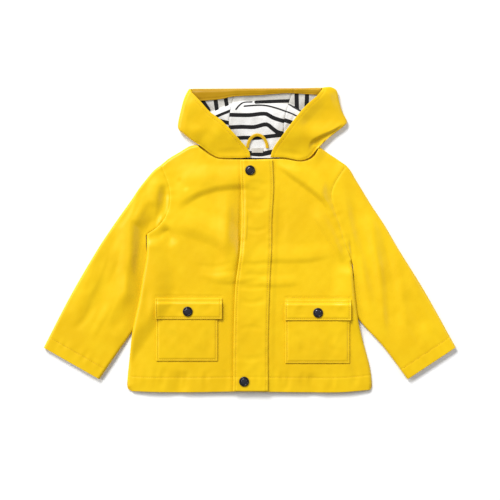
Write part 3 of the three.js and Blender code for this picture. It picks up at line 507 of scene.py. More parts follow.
# Meshes
def closed(rows, columns, ring):
    """The faces of a wall between two grids, the second numbered after the first."""
    size = rows * columns
    at = np.arange(size).reshape(rows, columns)
    if ring:
        at = np.concatenate([at, at[:, :1]], axis=1)

    def quads(*corners):
        return np.stack(corners, -1).reshape(-1, 4)

    a, b, c, d = at[:-1, :-1], at[:-1, 1:], at[1:, 1:], at[1:, :-1]
    faces = [
        quads(a, b, c, d),
        quads(d + size, c + size, b + size, a + size),
        quads(at[0, 1:], at[0, :-1], at[0, :-1] + size, at[0, 1:] + size),
        quads(at[-1, :-1], at[-1, 1:], at[-1, 1:] + size, at[-1, :-1] + size),
    ]
    if not ring:
        faces.append(quads(at[:-1, 0], at[1:, 0], at[1:, 0] + size, at[:-1, 0] + size))
        faces.append(quads(at[1:, -1], at[:-1, -1], at[:-1, -1] + size, at[1:, -1] + size))
    return np.concatenate(faces)


def make(name, points, faces, material, replaced=(), sharp=60, values=None):
    """An object on the root body from points in millimetres and faces, with float attributes by name."""
    mesh = bpy.data.meshes.new(name)
    mesh.from_pydata((np.asarray(points) * MM).tolist(), [], [list(face) for face in faces])
    mesh.update()
    for key, value in (values or {}).items():
        mesh.attributes.new(key, "FLOAT", "POINT").data.foreach_set("value", np.asarray(value, np.float32).ravel())
    mesh.shade_smooth()
    mesh.set_sharp_from_angle(angle=math.radians(sharp))
    mesh.materials.append(material)
    piece = bpy.data.objects.new(name, mesh)
    bpy.context.scene.collection.objects.link(piece)
    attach(piece, "root")
    if replaced:
        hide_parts(*replaced)
    return piece


def volume(points, faces):
    """Signed volume of a closed mesh of quads."""
    a, b, c, d = (points[faces[:, k]] for k in range(4))
    return (np.einsum("ij,ij->i", a, np.cross(b, c)) + np.einsum("ij,ij->i", a, np.cross(c, d))).sum() / 6


def wall(name, outer, inner, material, edge, slot="coated_cloth", ring=False, **values):
    """A closed wall between two grids of points, with its distance to its edges and other values by name."""
    rows, columns = outer.shape[:2]
    points = np.concatenate([outer.reshape(-1, 3), inner.reshape(-1, 3)])
    faces = closed(rows, columns, ring)
    if volume(points, faces) < 0:
        faces = faces[:, ::-1]
    values = {key: np.concatenate([np.ravel(value)] * 2) for key, value in {"edge": edge, **values}.items()}
    return make(f"{name}_cloth", points, faces.tolist(), material, [name], values=values)


def sheet_layers(x, y, top, thick, edge, floor=None):
    """Upper and lower faces of a sheet that lies flat. Its edges are rounded, and edge is the distance to them."""
    gy = np.gradient(top, axis=0), np.gradient(top, axis=1)
    step_v = np.hypot(np.gradient(x, axis=0), np.gradient(y, axis=0)) + 1e-6
    step_u = np.hypot(np.gradient(x, axis=1), np.gradient(y, axis=1)) + 1e-6
    steep = np.minimum(np.sqrt(1 + (gy[0] / step_v) ** 2 + (gy[1] / step_u) ** 2), 2.2)
    round_off = thick / 2 * (1 - turned(edge, thick * 0.6)) * 0.92
    under = top - thick * steep
    if floor is not None:
        under = np.maximum(under, floor)
    high = np.maximum(top - round_off, under + 0.06)
    low = np.minimum(under + round_off, high - 0.05)
    return np.stack([x, y, high], -1), np.stack([x, y, low], -1)


def offset(outer, thick, ring, outward, squeeze=0):
    """The inner face of a wall behind its outer grid, along the normals. squeeze closes the wall at its ends."""
    if ring:
        across = np.roll(outer, -1, axis=1) - np.roll(outer, 1, axis=1)
        half = outer.shape[1] // 2
        spine = (outer[:, :1] - outer[:, half:half + 1]) * [1, 1, 0]
        along = np.broadcast_to(np.cross(spine, [0, 0, outward]), outer.shape)
    else:
        across = np.gradient(outer, axis=1)
        along = np.gradient(outer, axis=0)
    normal = np.cross(across, along)
    normal /= np.linalg.norm(normal, axis=-1, keepdims=True) + 1e-9
    normal *= outward
    squeeze = np.asarray(squeeze, float)
    squeeze = squeeze[..., None] if squeeze.ndim else squeeze
    return outer - normal * squeeze, outer - normal * (thick - squeeze)


def stitches(name, lines, height, pitch=STITCH_PITCH):
    """Lock stitches of a piece along lines of points on its surface: one small spindle of thread each."""
    shape = [(-0.5, 0.35), (-0.38, 0.85), (0, 1), (0.38, 0.85), (0.5, 0.35)]
    sides = 6
    found = []
    for line in lines:
        line = np.asarray(line, float)
        at = np.concatenate([[0], np.cumsum(np.hypot(*np.diff(line, axis=0).T))])
        count = int(at[-1] / pitch)
        centres = (np.arange(count) + 0.5) * at[-1] / count
        ends = []
        for shift in (-0.5, 0.5):
            s = centres + shift * STITCH_LONG
            x, y = np.interp(s, at, line[:, 0]), np.interp(s, at, line[:, 1])
            ends.append(np.stack([x, y, height(x, y) + STITCH_RADIUS * 0.5], -1))
        start, end = ends
        run = end - start
        across = np.stack([-run[:, 1], run[:, 0], 0 * run[:, 0]], -1)
        across /= np.linalg.norm(across, axis=1, keepdims=True)
        up = np.cross(run, across)
        up /= np.linalg.norm(up, axis=1, keepdims=True)
        rings = []
        for share, wide in shape:
            middle = start + run * (share + 0.5) - [0, 0, 0.3 * (abs(share) > 0.45)]
            for k in range(sides):
                angle = 2 * math.pi * k / sides
                rings.append(middle + STITCH_RADIUS * wide * (math.cos(angle) * across + 0.8 * math.sin(angle) * up))
        found.append(np.stack(rings, 1))
    points = np.concatenate(found)
    each = sides * len(shape)
    template = []
    for ring in range(len(shape) - 1):
        for k in range(sides):
            a, b = ring * sides + k, ring * sides + (k + 1) % sides
            template.append([a, b, b + sides, a + sides])
    faces = []
    for i in range(len(points)):
        faces.extend([[i * each + v for v in face] for face in template])
        faces.append([i * each + k for k in reversed(range(sides))])
        faces.append([i * each + each - sides + k for k in range(sides)])
    return make(f"{name}_stitches", points.reshape(-1, 3), faces, THREAD, sharp=80)


# Materials
class Nodes:
    """A material's node tree, in short calls. A socket is given as a value or as another node's output."""

    def __init__(self, name):
        self.material = bpy.data.materials.new(name)
        self.material.use_nodes = True
        self.tree = self.material.node_tree
        self.shader = self.tree.nodes["Principled BSDF"]
        self.place = self.add("ShaderNodeTexCoord").outputs["Object"]

    def add(self, kind, sockets=None, **settings):
        node = self.tree.nodes.new(kind)
        for key, value in settings.items():
            setattr(node, key, value)
        for key, value in (sockets or {}).items():
            if isinstance(value, bpy.types.NodeSocket):
                self.tree.links.new(value, node.inputs[key])
            else:
                node.inputs[key].default_value = value
        return node

    def shade(self, **sockets):
        for key, value in sockets.items():
            socket = self.shader.inputs[key.replace("_", " ")]
            if isinstance(value, bpy.types.NodeSocket):
                self.tree.links.new(value, socket)
            else:
                socket.default_value = value

    def noise(self, scale, detail=2.0, rough=0.5):
        return self.add("ShaderNodeTexNoise", {"Vector": self.place, "Scale": scale, "Detail": detail,
                                               "Roughness": rough}).outputs["Fac"]

    def wave(self, period, direction, distortion=0.0):
        """Even ridges with a period in millimetres."""
        return self.add("ShaderNodeTexWave", {"Vector": self.place, "Scale": math.pi / 10 / (period * MM),
                                              "Distortion": distortion, "Detail": 1.0},
                        bands_direction=direction).outputs["Fac"]

    def math(self, operation, a, b):
        return self.add("ShaderNodeMath", {0: a, 1: b}, operation=operation).outputs[0]

    def span(self, value, low, high, to_low=0.0, to_high=1.0):
        return self.add("ShaderNodeMapRange", {"Value": value, "From Min": low, "From Max": high, "To Min": to_low,
                                               "To Max": to_high}, interpolation_type="SMOOTHSTEP").outputs[0]

    def blend(self, share, a, b):
        return self.add("ShaderNodeMix", {0: share, 6: a, 7: b}, data_type="RGBA").outputs[2]

    def attribute(self, name):
        return self.add("ShaderNodeAttribute", attribute_name=name).outputs["Fac"]

    def bump(self, height, deep, strength=1.0, under=None):
        sockets = {"Height": height, "Distance": deep * MM, "Strength": strength}
        if under is not None:
            sockets["Normal"] = under
        return self.add("ShaderNodeBump", sockets).outputs[0]


def coated_cloth(name, base, deep, worn):
    """Polyurethane-coated cloth: a fine grain over a plain weave, a satin surface, paler on worn edges."""
    n = Nodes(name)
    broad = n.noise(9, 3)
    small = n.noise(60, 3)
    grain = n.noise(1500, 3, 0.6)
    pebble = n.noise(520, 2, 0.55)
    weave = n.math("MULTIPLY", n.wave(0.62, "X"), n.wave(0.62, "Y"))
    tone = n.span(n.math("ADD", n.math("MULTIPLY", broad, 0.7), n.math("MULTIPLY", small, 0.3)), 0.34, 0.68)
    colour = n.blend(tone, deep, base)
    scuff = n.span(n.noise(240, 4, 0.65), 0.5, 0.72)
    edge = n.span(n.attribute("edge"), 0.2, 1.5, 1.0, 0.0)
    colour = n.blend(n.math("MULTIPLY", edge, n.span(scuff, 0, 1, 0.25, 0.8)), colour, worn)
    rough = n.math("ADD", n.math("MULTIPLY", small, 0.5), n.math("MULTIPLY", pebble, 0.5))
    rough = n.math("ADD", n.span(rough, 0.3, 0.7, 0.38, 0.52), n.math("MULTIPLY", edge, 0.12))
    normal = n.bump(weave, 0.02, 0.35)
    normal = n.bump(pebble, 0.06, 0.55, normal)
    normal = n.bump(grain, 0.025, 0.5, normal)
    n.shade(Base_Color=colour, Roughness=rough, Normal=normal)
    n.shade(Specular_IOR_Level=0.22, Coat_Weight=0.08, Coat_Roughness=0.32, Sheen_Weight=0.0)
    return n.material


def jersey(name, striped=True):
    """White single jersey with dark stripes, which are where the stripe attribute is above 0."""
    n = Nodes(name)
    rib = n.wave(0.95, "X", 0.6)
    course = n.wave(0.7, "Y", 0.9)
    knit = n.math("MULTIPLY", n.math("ADD", rib, 0.35), n.math("ADD", course, 0.5))
    fuzz = n.noise(700, 3, 0.6)
    broad = n.noise(30, 2)
    white = n.blend(n.span(broad, 0.3, 0.7), (0.78, 0.765, 0.735, 1), (0.88, 0.87, 0.85, 1))
    # Greyer in the hollows of the knit, where its bump is low: painted shade
    white = n.blend(n.span(knit, 0.1, 1.1, 0.22, 0.0), white, (0.55, 0.54, 0.53, 1))
    # Where the band attribute is set, on the lining above the roof fold, the white is greyed towards warm grey: painted
    # shade
    white = n.blend(n.math("MULTIPLY", n.attribute("band"), 0.55), white, (0.36, 0.34, 0.28, 1))
    colour = white
    if striped:
        dark = n.blend(n.span(fuzz, 0.3, 0.7), (0.0035, 0.0035, 0.004, 1), (0.014, 0.013, 0.014, 1))
        ragged = n.math("ADD", n.attribute("stripe"), n.math("MULTIPLY", n.math("SUBTRACT", fuzz, 0.5), 0.5))
        colour = n.blend(n.span(ragged, -0.22, 0.22), white, dark)
    normal = n.bump(knit, 0.16, 0.6)
    normal = n.bump(fuzz, 0.06, 0.4, normal)
    n.shade(Base_Color=colour, Roughness=n.span(fuzz, 0.3, 0.7, 0.82, 0.95), Normal=normal)
    n.shade(Specular_IOR_Level=0.15, Sheen_Weight=0.25, Sheen_Roughness=0.5)
    return n.material


def thread(name, base, deep):
    n = Nodes(name)
    twist = n.wave(0.5, "DIAGONAL", 1.5)
    # Deeper yellow in the grooves of the twist, where its bump is low: painted shade
    n.shade(Base_Color=n.blend(twist, deep, base), Roughness=n.span(twist, 0, 1, 0.5, 0.66),
            Normal=n.bump(twist, 0.05, 0.5))
    n.shade(Specular_IOR_Level=0.25, Sheen_Weight=0.15, Sheen_Roughness=0.4)
    return n.material


def enamel(name, base, worn, rough_low, rough_high, metallic):
    """Painted metal of a snap cap, rubbed a little on its rim."""
    n = Nodes(name)
    speck = n.noise(900, 3, 0.6)
    wear = n.math("MULTIPLY", n.span(n.attribute("edge"), 0.15, 0.8, 1.0, 0.0), n.span(speck, 0.45, 0.75))
    n.shade(Base_Color=n.blend(wear, base, worn), Roughness=n.span(speck, 0.3, 0.7, rough_low, rough_high),
            Normal=n.bump(speck, 0.03, 0.35))
    n.shade(Metallic=metallic, Specular_IOR_Level=0.5)
    return n.material


def woven_tab(name):
    n = Nodes(name)
    weave = n.math("MULTIPLY", n.wave(0.4, "X"), n.wave(0.4, "Y"))
    # The tab's pale cloth is darkened to grey-brown: painted shade
    colour = n.blend(n.span(n.noise(90, 3), 0.3, 0.7), (0.44, 0.41, 0.36, 1), (0.56, 0.53, 0.47, 1))
    n.shade(Base_Color=colour, Roughness=n.span(weave, 0, 1, 0.6, 0.75), Normal=n.bump(weave, 0.05, 0.5))
    n.shade(Specular_IOR_Level=0.2, Sheen_Weight=0.1)
    return n.material


SHELL = coated_cloth("coated_cloth", (0.80, 0.522, 0.003, 1), (0.74, 0.456, 0.002, 1), (0.93, 0.66, 0.03, 1))
# The shell's coated cloth darkened for the facing inside the rim: painted shade
SHELL_PAINTED_SHADE = coated_cloth("coated_cloth_painted_shade", (0.47, 0.265, 0.003, 1), (0.41, 0.22, 0.002, 1),
                            (0.56, 0.33, 0.006, 1))
# A darker copy of the shell's coated cloth for the hanging loop: painted shade
LOOP_CLOTH = coated_cloth("coated_cloth_loop", (0.68, 0.42, 0.01, 1), (0.6, 0.35, 0.006, 1), (0.8, 0.52, 0.03, 1))
JERSEY = jersey("striped_jersey")
PLAIN_JERSEY = jersey("plain_jersey", striped=False)
THREAD = thread("thread", (0.76, 0.48, 0.008, 1), (0.66, 0.4, 0.005, 1))
TAB = woven_tab("tab")
CAP = enamel("snap_enamel", (0.012, 0.010, 0.012, 1), (0.14, 0.12, 0.12, 1), 0.24, 0.36, 0.35)
CAP_MIDDLE = enamel("snap_middle", (0.055, 0.055, 0.075, 1), (0.16, 0.15, 0.17, 1), 0.2, 0.3, 0.75)


# Body. The back lies a little inside the fronts' outline, and its underside is drawn up along the hem's stitches
BACK_INSET = 1.1
STITCH_LIFT = 0.4
PLACKET_EDGE_X = {"front_right": -24, "front_left": 29}
SIDES = ("Right", "Left")
path = {name: smooth(points) for name, points in OUTLINE.items()}


def pair(paths, name, count):
    """The lines of a right and left pair of paths."""
    return [sampled(paths[name + side], count) for side in SIDES]


under_right_x, under_left_x = by_height(OUTLINE["underRight"]), by_height(OUTLINE["underLeft"])
side_right_x, side_left_x = by_height(OUTLINE["sideRight"]), by_height(OUTLINE["sideLeft"])
side_lines = pair(path, "side", 24) + pair(path, "shoulder", 8)
armhole_lines = pair(path, "armhole", 16)
neck_lines = pair(path, "neck", 12)
hem_stitch = sampled(aside(path["hem"], HEM_STITCH), 40)
body_creases = creased(BODY_FOLDS + FINE_BODY + FLAP_SIDE_FOLDS)

# Patch pockets and their flaps: x from and to, y from and to
POCKETS = {"right": (-140.3, -48, -182, -97), "left": (53.5, 150, -185.3, -98.5)}
FLAPS = {"right": (-141.5, -41.5, -119, -88), "left": (52.5, 152, -121, -90)}
flap_seams = [np.array([[x0 + 1, top + FLAP_SEAM], [x1 - 1, top + FLAP_SEAM]]) for x0, x1, _, top in FLAPS.values()]


def back_height(x, y):
    """Height of the back's underside: it is lifted where a sleeve's underarm lies beneath it."""
    right = ease((ARMPIT_RIGHT_Y - y) / 20) * (1 - ease((x - read(under_right_x, y)) / 34))
    left = ease((ARMPIT_LEFT_Y - y) / 20) * (1 - ease((read(under_left_x, y) - x) / 34))
    return BODY_LIFT * np.maximum(right, left)


def back_top(x, y):
    slope = np.hypot(back_height(x + 1, y) - back_height(x - 1, y), back_height(x, y + 1) - back_height(x, y - 1)) / 2
    return back_height(x, y) + CLOTH * (1 + slope ** 2)


def gathers(lines, x, y, deep, wide, size, far):
    """The dip of a seam and the small gathers beside it."""
    total = 0
    for line in lines:
        length = np.hypot(*np.diff(line, axis=0).T).sum()
        distance, _, along = nearest(line, x, y)
        total = total - deep * np.exp(-(distance / wide) ** 2) + pucker(distance, along * length, size, far)
    return total


def front_height(x, y):
    """Height of the fronts' upper face."""
    x, y = arrays(x, y)
    lowest = back_top(x, y) + CLOTH + LAY_GAP
    side = reach(side_lines, x, y)
    seam = ease(reach(armhole_lines + neck_lines, x, y) / 16)
    soft = body_creases(x, y) + 0.22 * uneven(x, y, 24, 1.3) + 0.05 * uneven(x, y, 8, 4.1)
    slack = BODY_SLACK * ease(0.35 + side / 60) + soft * ease(side / 10)
    free = mix(np.maximum(SEAM_HIGH, lowest), np.maximum(lowest, lowest + slack), seam)
    free = free + gathers(armhole_lines, x, y, 0.4, 2.2, 0.2, 9) + gathers(neck_lines, x, y, 0.2, 2.4, 0.16, 7)
    hem, hem_side, hem_along = nearest(hem_stitch, x, y)
    free = free + groove(hem) + pucker(hem, hem_along * BODY_WIDE, 0.24, 11)
    free = free + 0.1 * ease(-hem_side * hem / 1.5 + 0.5)
    for line in flap_seams:
        free = free + groove(nearest(line, x, y)[0], 0.5)
    return mix(back_height(x, y) + 0.35, free, turned(side, TURN_RADIUS))


def clear_of_back(x, y, side):
    return np.where(side < 1.3, back_height(x, y) + 0.05, back_top(x, y) + 0.15)


side_and_armhole_right = joined(path["sideRight"], path["armholeRight"], 0.52)
side_and_armhole_left = joined(path["sideLeft"], path["armholeLeft"], 0.44)


def hem_share(x):
    return (x - HEM_X) / BODY_WIDE


centre_hem_y = float(path["hem"](hem_share(CENTRE_X))[1])


# How far from its edge a patch's rows become evenly spaced
EVEN_REACH = 110


def evened(place, reference):
    """A patch whose rows keep an even distance from its low edge, close to it."""
    def moved(u, v):
        u, v = arrays(u, v)
        speed = np.linalg.norm(place(u, np.full(u.shape, 0.03)) - place(u, np.zeros(u.shape)), axis=-1) / 0.03
        return place(u, v * mix(reference / speed, 1, ease(v * reference / EVEN_REACH)))

    return moved


def make_back():
    place = patch(
        path["hem"],
        joined(path["shoulderRight"], joined(path["neckBack"], backwards(path["shoulderLeft"]), 0.8), 0.2),
        side_and_armhole_right,
        side_and_armhole_left,
    )
    place = evened(place, BODY_TALL)
    us = spread(BODY_WIDE, 3.5, near=EDGE, far=EDGE)
    vs = spread(BODY_TALL, 3.5, near=EDGE, far=EDGE, marks=[HEM_STITCH])
    x, y = laid(place, mix(BACK_INSET / BODY_WIDE, 1 - BACK_INSET / BODY_WIDE, us),
                mix(0, 1 - BACK_INSET / BODY_TALL, vs))
    edge = borders(us, vs, BODY_WIDE, BODY_TALL)
    under = back_height(x, y) + STITCH_LIFT * bell(nearest(hem_stitch, x, y)[0], GROOVE_WIDE)
    top = back_top(x, y) - rounding(edge)
    high = np.stack([x, y, top], -1)
    low = np.stack([x, y, np.minimum(under + rounding(edge), top - 0.1)], -1)
    piece = wall("back", high, low, SHELL, edge)
    line = sampled(part(aside(path["hem"], HEM_STITCH), 0.015, 0.985), 60)
    sewn = stitches("back", [line], lambda a, b: back_height(a, b) + 0.05)


def make_front(name, top, hem, centre_x, side):
    centre = straight([centre_x, centre_hem_y], [centre_x, NECK_Y])
    place = evened(patch(hem, top, centre, side), FRONT_TALL)
    us = spread(FRONT_WIDE, 1.75, near=[0, 1], far=[*EDGE, 8, 12])
    vs = spread(FRONT_TALL, 1.6, near=EDGE, far=EDGE, marks=[HEM_STITCH])
    x, y = laid(place, us, vs)
    from_side = reach(side_lines, x, y)
    free_edge = np.minimum(vs[:, None] * FRONT_TALL, reach(armhole_lines + neck_lines, x, y))
    high, low = sheet_layers(x, y, front_height(x, y), CLOTH, free_edge, floor=clear_of_back(x, y, from_side))
    piece = wall(name, high, low, SHELL, np.minimum(free_edge, from_side))
    sign = 1 if centre_x > CENTRE_X else -1
    hem_line = hem_stitch[(hem_stitch[:, 0] - PLACKET_EDGE_X[name]) * sign > 0]
    hem_line = hem_line[np.abs(hem_line[:, 0]) < -HEM_X]
    seam_line = flap_seams[1 if sign > 0 else 0]
    seam_line = np.linspace(seam_line[0] + [2, 0], seam_line[1] - [2, 0], 30)
    sewn = stitches(name, [hem_line, seam_line], front_height)


# Storm flap over the centre front
PLACKET = {
    "right": [[-24.5, HEM_Y + 1], [-24, -138], [-21.5, -70], [-18.5, -47], [-14.5, -15], [-12.5, 38], [-13.5, 87],
              [-14.5, NECK_Y - 1]],
    "left": [[28, HEM_Y + 1], [28, -153], [30.5, -62], [33, -15], [33.5, 30], [36, 77], [34.5, NECK_Y - 1]],
}
PLACKET_RAISE = 0.9
placket_creases = creased(PLACKET_FOLDS + FINE_PLACKET)
flap_side_creases = creased(FLAP_SIDE_FOLDS)
placket_right, placket_left = smooth(PLACKET["right"]), smooth(PLACKET["left"])
placket_lines = [sampled(aside(placket_right, -PLACKET_STITCH), 40), sampled(aside(placket_left, PLACKET_STITCH), 40)]


def placket_height(x, y):
    x, y = arrays(x, y)
    under = front_height(x, y) - flap_side_creases(x, y)
    height = under + LAY_GAP + PLACKET_CLOTH + PLACKET_RAISE + placket_creases(x, y)
    for line in placket_lines:
        distance, _, along = nearest(line, x, y)
        height = height + groove(distance, 0.36) + pucker(distance, along * FRONT_TALL, 0.14, 5)
    return height + 0.15 * uneven(x, y, 11, 2.7)


def make_placket():
    place = patch(straight(placket_right(0.0), placket_left(0.0)), straight(placket_right(1.0), placket_left(1.0)),
                  placket_right, placket_left)
    us = spread(PLACKET_WIDE, 1.2, near=EDGE, far=EDGE, marks=[PLACKET_STITCH], far_marks=[PLACKET_STITCH])
    vs = spread(FRONT_TALL, 1.5, near=EDGE, far=EDGE)
    x, y = laid(place, us, vs)
    edge = borders(us, vs, PLACKET_WIDE, FRONT_TALL)
    drop = (PLACKET_RAISE + 0.8) * mix(0.3, 1.0, us[None, :])
    z = placket_height(x, y) - drop * (1 - turned(from_ends(us, PLACKET_WIDE)[None, :], 5))
    high, low = sheet_layers(x, y, z, PLACKET_CLOTH, edge, floor=front_height(x, y) + 0.2)
    piece = wall("placket", high, low, SHELL, edge)
    lines = [line[(line[:, 1] > HEM_Y + 4) & (line[:, 1] < NECK_Y - 4)] for line in placket_lines]
    sewn = stitches("placket", lines, placket_height)


# Pockets
POCKET_LAY = 0.3
POCKET_PUFF = 0.9
FLAP_PUFF = 0.5
FLAP_LAY = 0.2
FLAP_EXTRA = 0.3
pocket_creases = creased(photo_folds([
    (-0.6, 9, 11, [(162, 330), (176, 338), (186, 352)]),
    (0.5, 10, 10, [(178, 326), (192, 336), (204, 352)]),
    (-0.5, 8, 9, [(206, 328), (210, 342), (207, 356)]),
    (-0.6, 10, 9, [(294, 330), (304, 342), (300, 358)]),
    (0.5, 10, 10, [(312, 328), (322, 342), (318, 358)]),
    (-0.5, 8, 10, [(336, 330), (331, 344), (340, 356)]),
]))
flap_creases = creased(photo_folds([
    (-0.4, 9, 9, [(166, 304), (176, 309), (182, 316)]),
    (-0.4, 8, 9, [(198, 305), (206, 309), (214, 306)]),
    (-0.4, 9, 8, [(296, 306), (303, 311), (300, 318)]),
    (-0.4, 8, 9, [(330, 305), (338, 311), (346, 308)]),
]))


def rectangle(x0, x1, y0, y1):
    return lambda u, v: np.stack(np.broadcast_arrays(mix(x0, x1, u), mix(y0, y1, v)), -1)


def within(box, x, y):
    """1 over the middle of a rectangle, and 0 at its edges."""
    x0, x1, y0, y1 = box
    u, v = clamp((x - x0) / (x1 - x0)), clamp((y - y0) / (y1 - y0))
    return turned(np.minimum(u, 1 - u), 0.3) * turned(np.minimum(v, 1 - v), 0.3)


def box_edge(box, x, y, top=True):
    """Distance to a rectangle's edges, from inside, with or without its top one."""
    x0, x1, y0, y1 = box
    distance = np.minimum(np.minimum(x - x0, x1 - x), y - y0)
    return np.minimum(distance, y1 - y) if top else distance


def pocket_height(side, x, y):
    box = POCKETS[side]
    return (front_height(x, y) + POCKET_LAY + CLOTH + POCKET_PUFF * within(box, x, y) + pocket_creases(x, y)
            + groove(box_edge(box, x, y, top=False) - EDGE_STITCH, 0.5) + 0.12 * uneven(x, y, 9, 0.7))


def flap_step(side, y):
    """The drop of a flap from its stitched edge onto its pocket."""
    return (CLOTH + POCKET_LAY + POCKET_PUFF) * ease((FLAPS[side][3] - y - 2) / 7)


def flap_height(side, x, y):
    box = FLAPS[side]
    return (front_height(x, y) + FLAP_LAY + CLOTH + flap_step(side, y) + FLAP_PUFF * within(box, x, y)
            + flap_creases(x, y) + groove(box_edge(box, x, y, top=False) - EDGE_STITCH, 0.45)
            + groove(box[3] - FLAP_STITCH - y, 0.5) + 0.1 * uneven(x, y, 8, 3.3))


def inner_line(box, top):
    """Stitch line inside a rectangle: down one side, along the bottom and up the other."""
    x0, x1, low = box[0] + EDGE_STITCH, box[1] - EDGE_STITCH, box[2] + EDGE_STITCH
    corners = [[x0, top], [x0, low], [x1, low], [x1, top]]
    return np.concatenate([np.linspace(a, b, 40)[:-1] for a, b in zip(corners[:-1], corners[1:])] + [[corners[-1]]])


def make_patch(name, box, height, floor, thick, sunk, far_marks, lines):
    """A rectangle of cloth sewn on a front, with its edges sunk a little."""
    wide, tall = box[1] - box[0], box[3] - box[2]
    us = spread(wide, 1.3, near=EDGE, far=EDGE, marks=[EDGE_STITCH], far_marks=[EDGE_STITCH])
    vs = spread(tall, 1.3, near=EDGE, far=EDGE, marks=[EDGE_STITCH], far_marks=far_marks)
    x, y = laid(rectangle(*box), us, vs)
    edge = box_edge(box, x, y)
    high, low = sheet_layers(x, y, height(x, y) - sunk * (1 - turned(edge, 2.4)), thick, edge, floor=floor(x, y))
    piece = wall(name, high, low, SHELL, edge)
    sewn = stitches(name, lines, height)


def make_pocket(side):
    box = POCKETS[side]
    make_patch(f"pocket_{side}", box, lambda x, y: pocket_height(side, x, y),
               lambda x, y: front_height(x, y) + 0.12, CLOTH, 0.5, [],
               [inner_line(box, FLAPS[side][2] + 4)])


def make_flap(side):
    box = FLAPS[side]
    x0, x1, _, top = box
    top_line = np.linspace([x0 + EDGE_STITCH, top - FLAP_STITCH], [x1 - EDGE_STITCH, top - FLAP_STITCH], 40)
    make_patch(f"pocket_flap_{side}", box, lambda x, y: flap_height(side, x, y),
               lambda x, y: front_height(x, y) + 0.15 + flap_step(side, y), CLOTH + FLAP_EXTRA, 0, [FLAP_STITCH],
               [inner_line(box, top - 6), top_line])


# Sleeves
SEAM_TUCK = 0.42
ARMHOLE_GAP = -1.4
sleeve_creases = creased(SLEEVE_FOLDS + FINE_SLEEVE + UNDERARM_FOLDS)


def sleeve_height(x, y, along, from_seam):
    """Height of a sleeve's upper face: low beside the body, and higher away from it and above the armpit."""
    outside = np.where(x < 0, read(side_right_x, y) - x, x - read(side_left_x, y))
    above = y - np.where(x < 0, ARMPIT_RIGHT_Y, ARMPIT_LEFT_Y)
    free = np.maximum(ease(outside / 26), ease(above / 24))
    soft = sleeve_creases(x, y) + 0.2 * uneven(x, y, 22, 5.2) + 0.05 * uneven(x, y, 8, 0.4)
    beside = np.where(x < 0, SLEEVE_LOWEST + 0.3, SLEEVE_UNDER_BODY)
    lying = mix(beside, np.maximum(SLEEVE_HIGH + soft, SLEEVE_LOWEST), free)
    seam = mix(SLEEVE_UNDER_BODY, SEAM_HIGH, ease((above + 4) / 24))
    return mix(seam, lying, ease(along / 14)) + from_seam * ease((above + 4) / 24)


def make_sleeve(name, side, outward):
    seam = aside(path["armhole" + side], ARMHOLE_GAP * outward)
    armhole = part(seam, SEAM_TUCK, 1)
    outer = smooth(np.concatenate([[armhole(1.0)], OUTLINE["outer" + side][1:]]))
    tuck = sampled(part(seam, SEAM_TUCK, 0), 4)[:-1]
    under = smooth(np.concatenate([tuck, OUTLINE["under" + side]]))
    cuff = straight(under(1.0), outer(1.0))
    place = patch(armhole, cuff, under, outer)
    shares = spread(SLEEVE_WIDE, 2.1, near=EDGE, far=EDGE)
    along = 1 - spread(SLEEVE_LONG, 2.1, near=[*EDGE, 7], far=[*EDGE, 8], marks=[CUFF_STITCH])[::-1]
    u, v = np.broadcast_arrays(along[:, None], shares[None, :])
    speed = np.linalg.norm(place(v, np.full(v.shape, 0.97)) - place(v, np.ones(v.shape)), axis=-1) / 0.03
    u = 1 - (1 - u) * mix(SLEEVE_LONG / speed, 1, ease((1 - u) * SLEEVE_LONG / EVEN_REACH))
    xy = place(v, u)
    x, y = xy[..., 0], xy[..., 1]
    width = np.hypot(x[:, -1] - x[:, 0], y[:, -1] - y[:, 0])[:, None]
    from_cuff = (1 - u) * speed
    from_seam = gathers([sampled(path["armhole" + side], 16)], x, y, 0.7, 1.8, 0.22, 10)
    cuff_line = np.array([under(1.0), outer(1.0)])
    cuff_distance, _, cuff_along = nearest(cuff_line, x, y)
    from_stitch = cuff_distance - CUFF_STITCH
    top = sleeve_height(x, y, u * SLEEVE_LONG, from_seam)
    top = top + groove(from_stitch) + pucker(from_stitch, cuff_along * 100, 0.22, 9)
    top = top + 0.1 * ease((CUFF_STITCH - cuff_distance) / 1.5 + 0.5)
    lift = turned(np.minimum(v, 1 - v) * width, SLEEVE_TURN)
    high = np.stack([x, y, top * (1 + lift) / 2], -1)
    low = np.stack([x, y, top * (1 - lift) / 2], -1)
    low[..., 2] += STITCH_LIFT * bell(from_stitch, GROOVE_WIDE) * (lift > 0.97)
    outer_grid = np.concatenate([high, low[:, 1:-1][:, ::-1]], axis=1)
    ends = np.minimum(u * SLEEVE_LONG, from_cuff)
    ends = np.concatenate([ends, ends[:, 1:-1][:, ::-1]], axis=1)
    high, low = offset(outer_grid, CLOTH, True, outward, rounding(ends))
    piece = wall(name, high, low, SHELL, ends, ring=True)

    direction = cuff_line[1] - cuff_line[0]
    length = np.hypot(*direction)
    inward = np.array([-direction[1], direction[0]]) / length
    if inward[1] < 0:
        inward = -inward
    line = np.linspace(cuff_line[0] + direction * 4 / length, cuff_line[1] - direction * 4 / length, 40)
    line = line + inward * CUFF_STITCH

    def on_sleeve(a, b):
        return sleeve_height(a, b, np.full(np.shape(a), 280.0), 0) - GROOVE_DEEP + 0.2

    sewn = stitches(name, [line], on_sleeve)


# Snap caps
SNAP_RADIUS = 7.5
SNAP_MIDDLE_RADIUS = 4.8
SNAPS = [
    ("snap_neck", 0.5, 104, placket_height),
    ("snap_hem", -8.5, -212.5, placket_height),
    ("snap_pocket_right", -93, -107.5, lambda x, y: flap_height("right", x, y)),
    ("snap_pocket_left", 102.3, -109.5, lambda x, y: flap_height("left", x, y)),
]
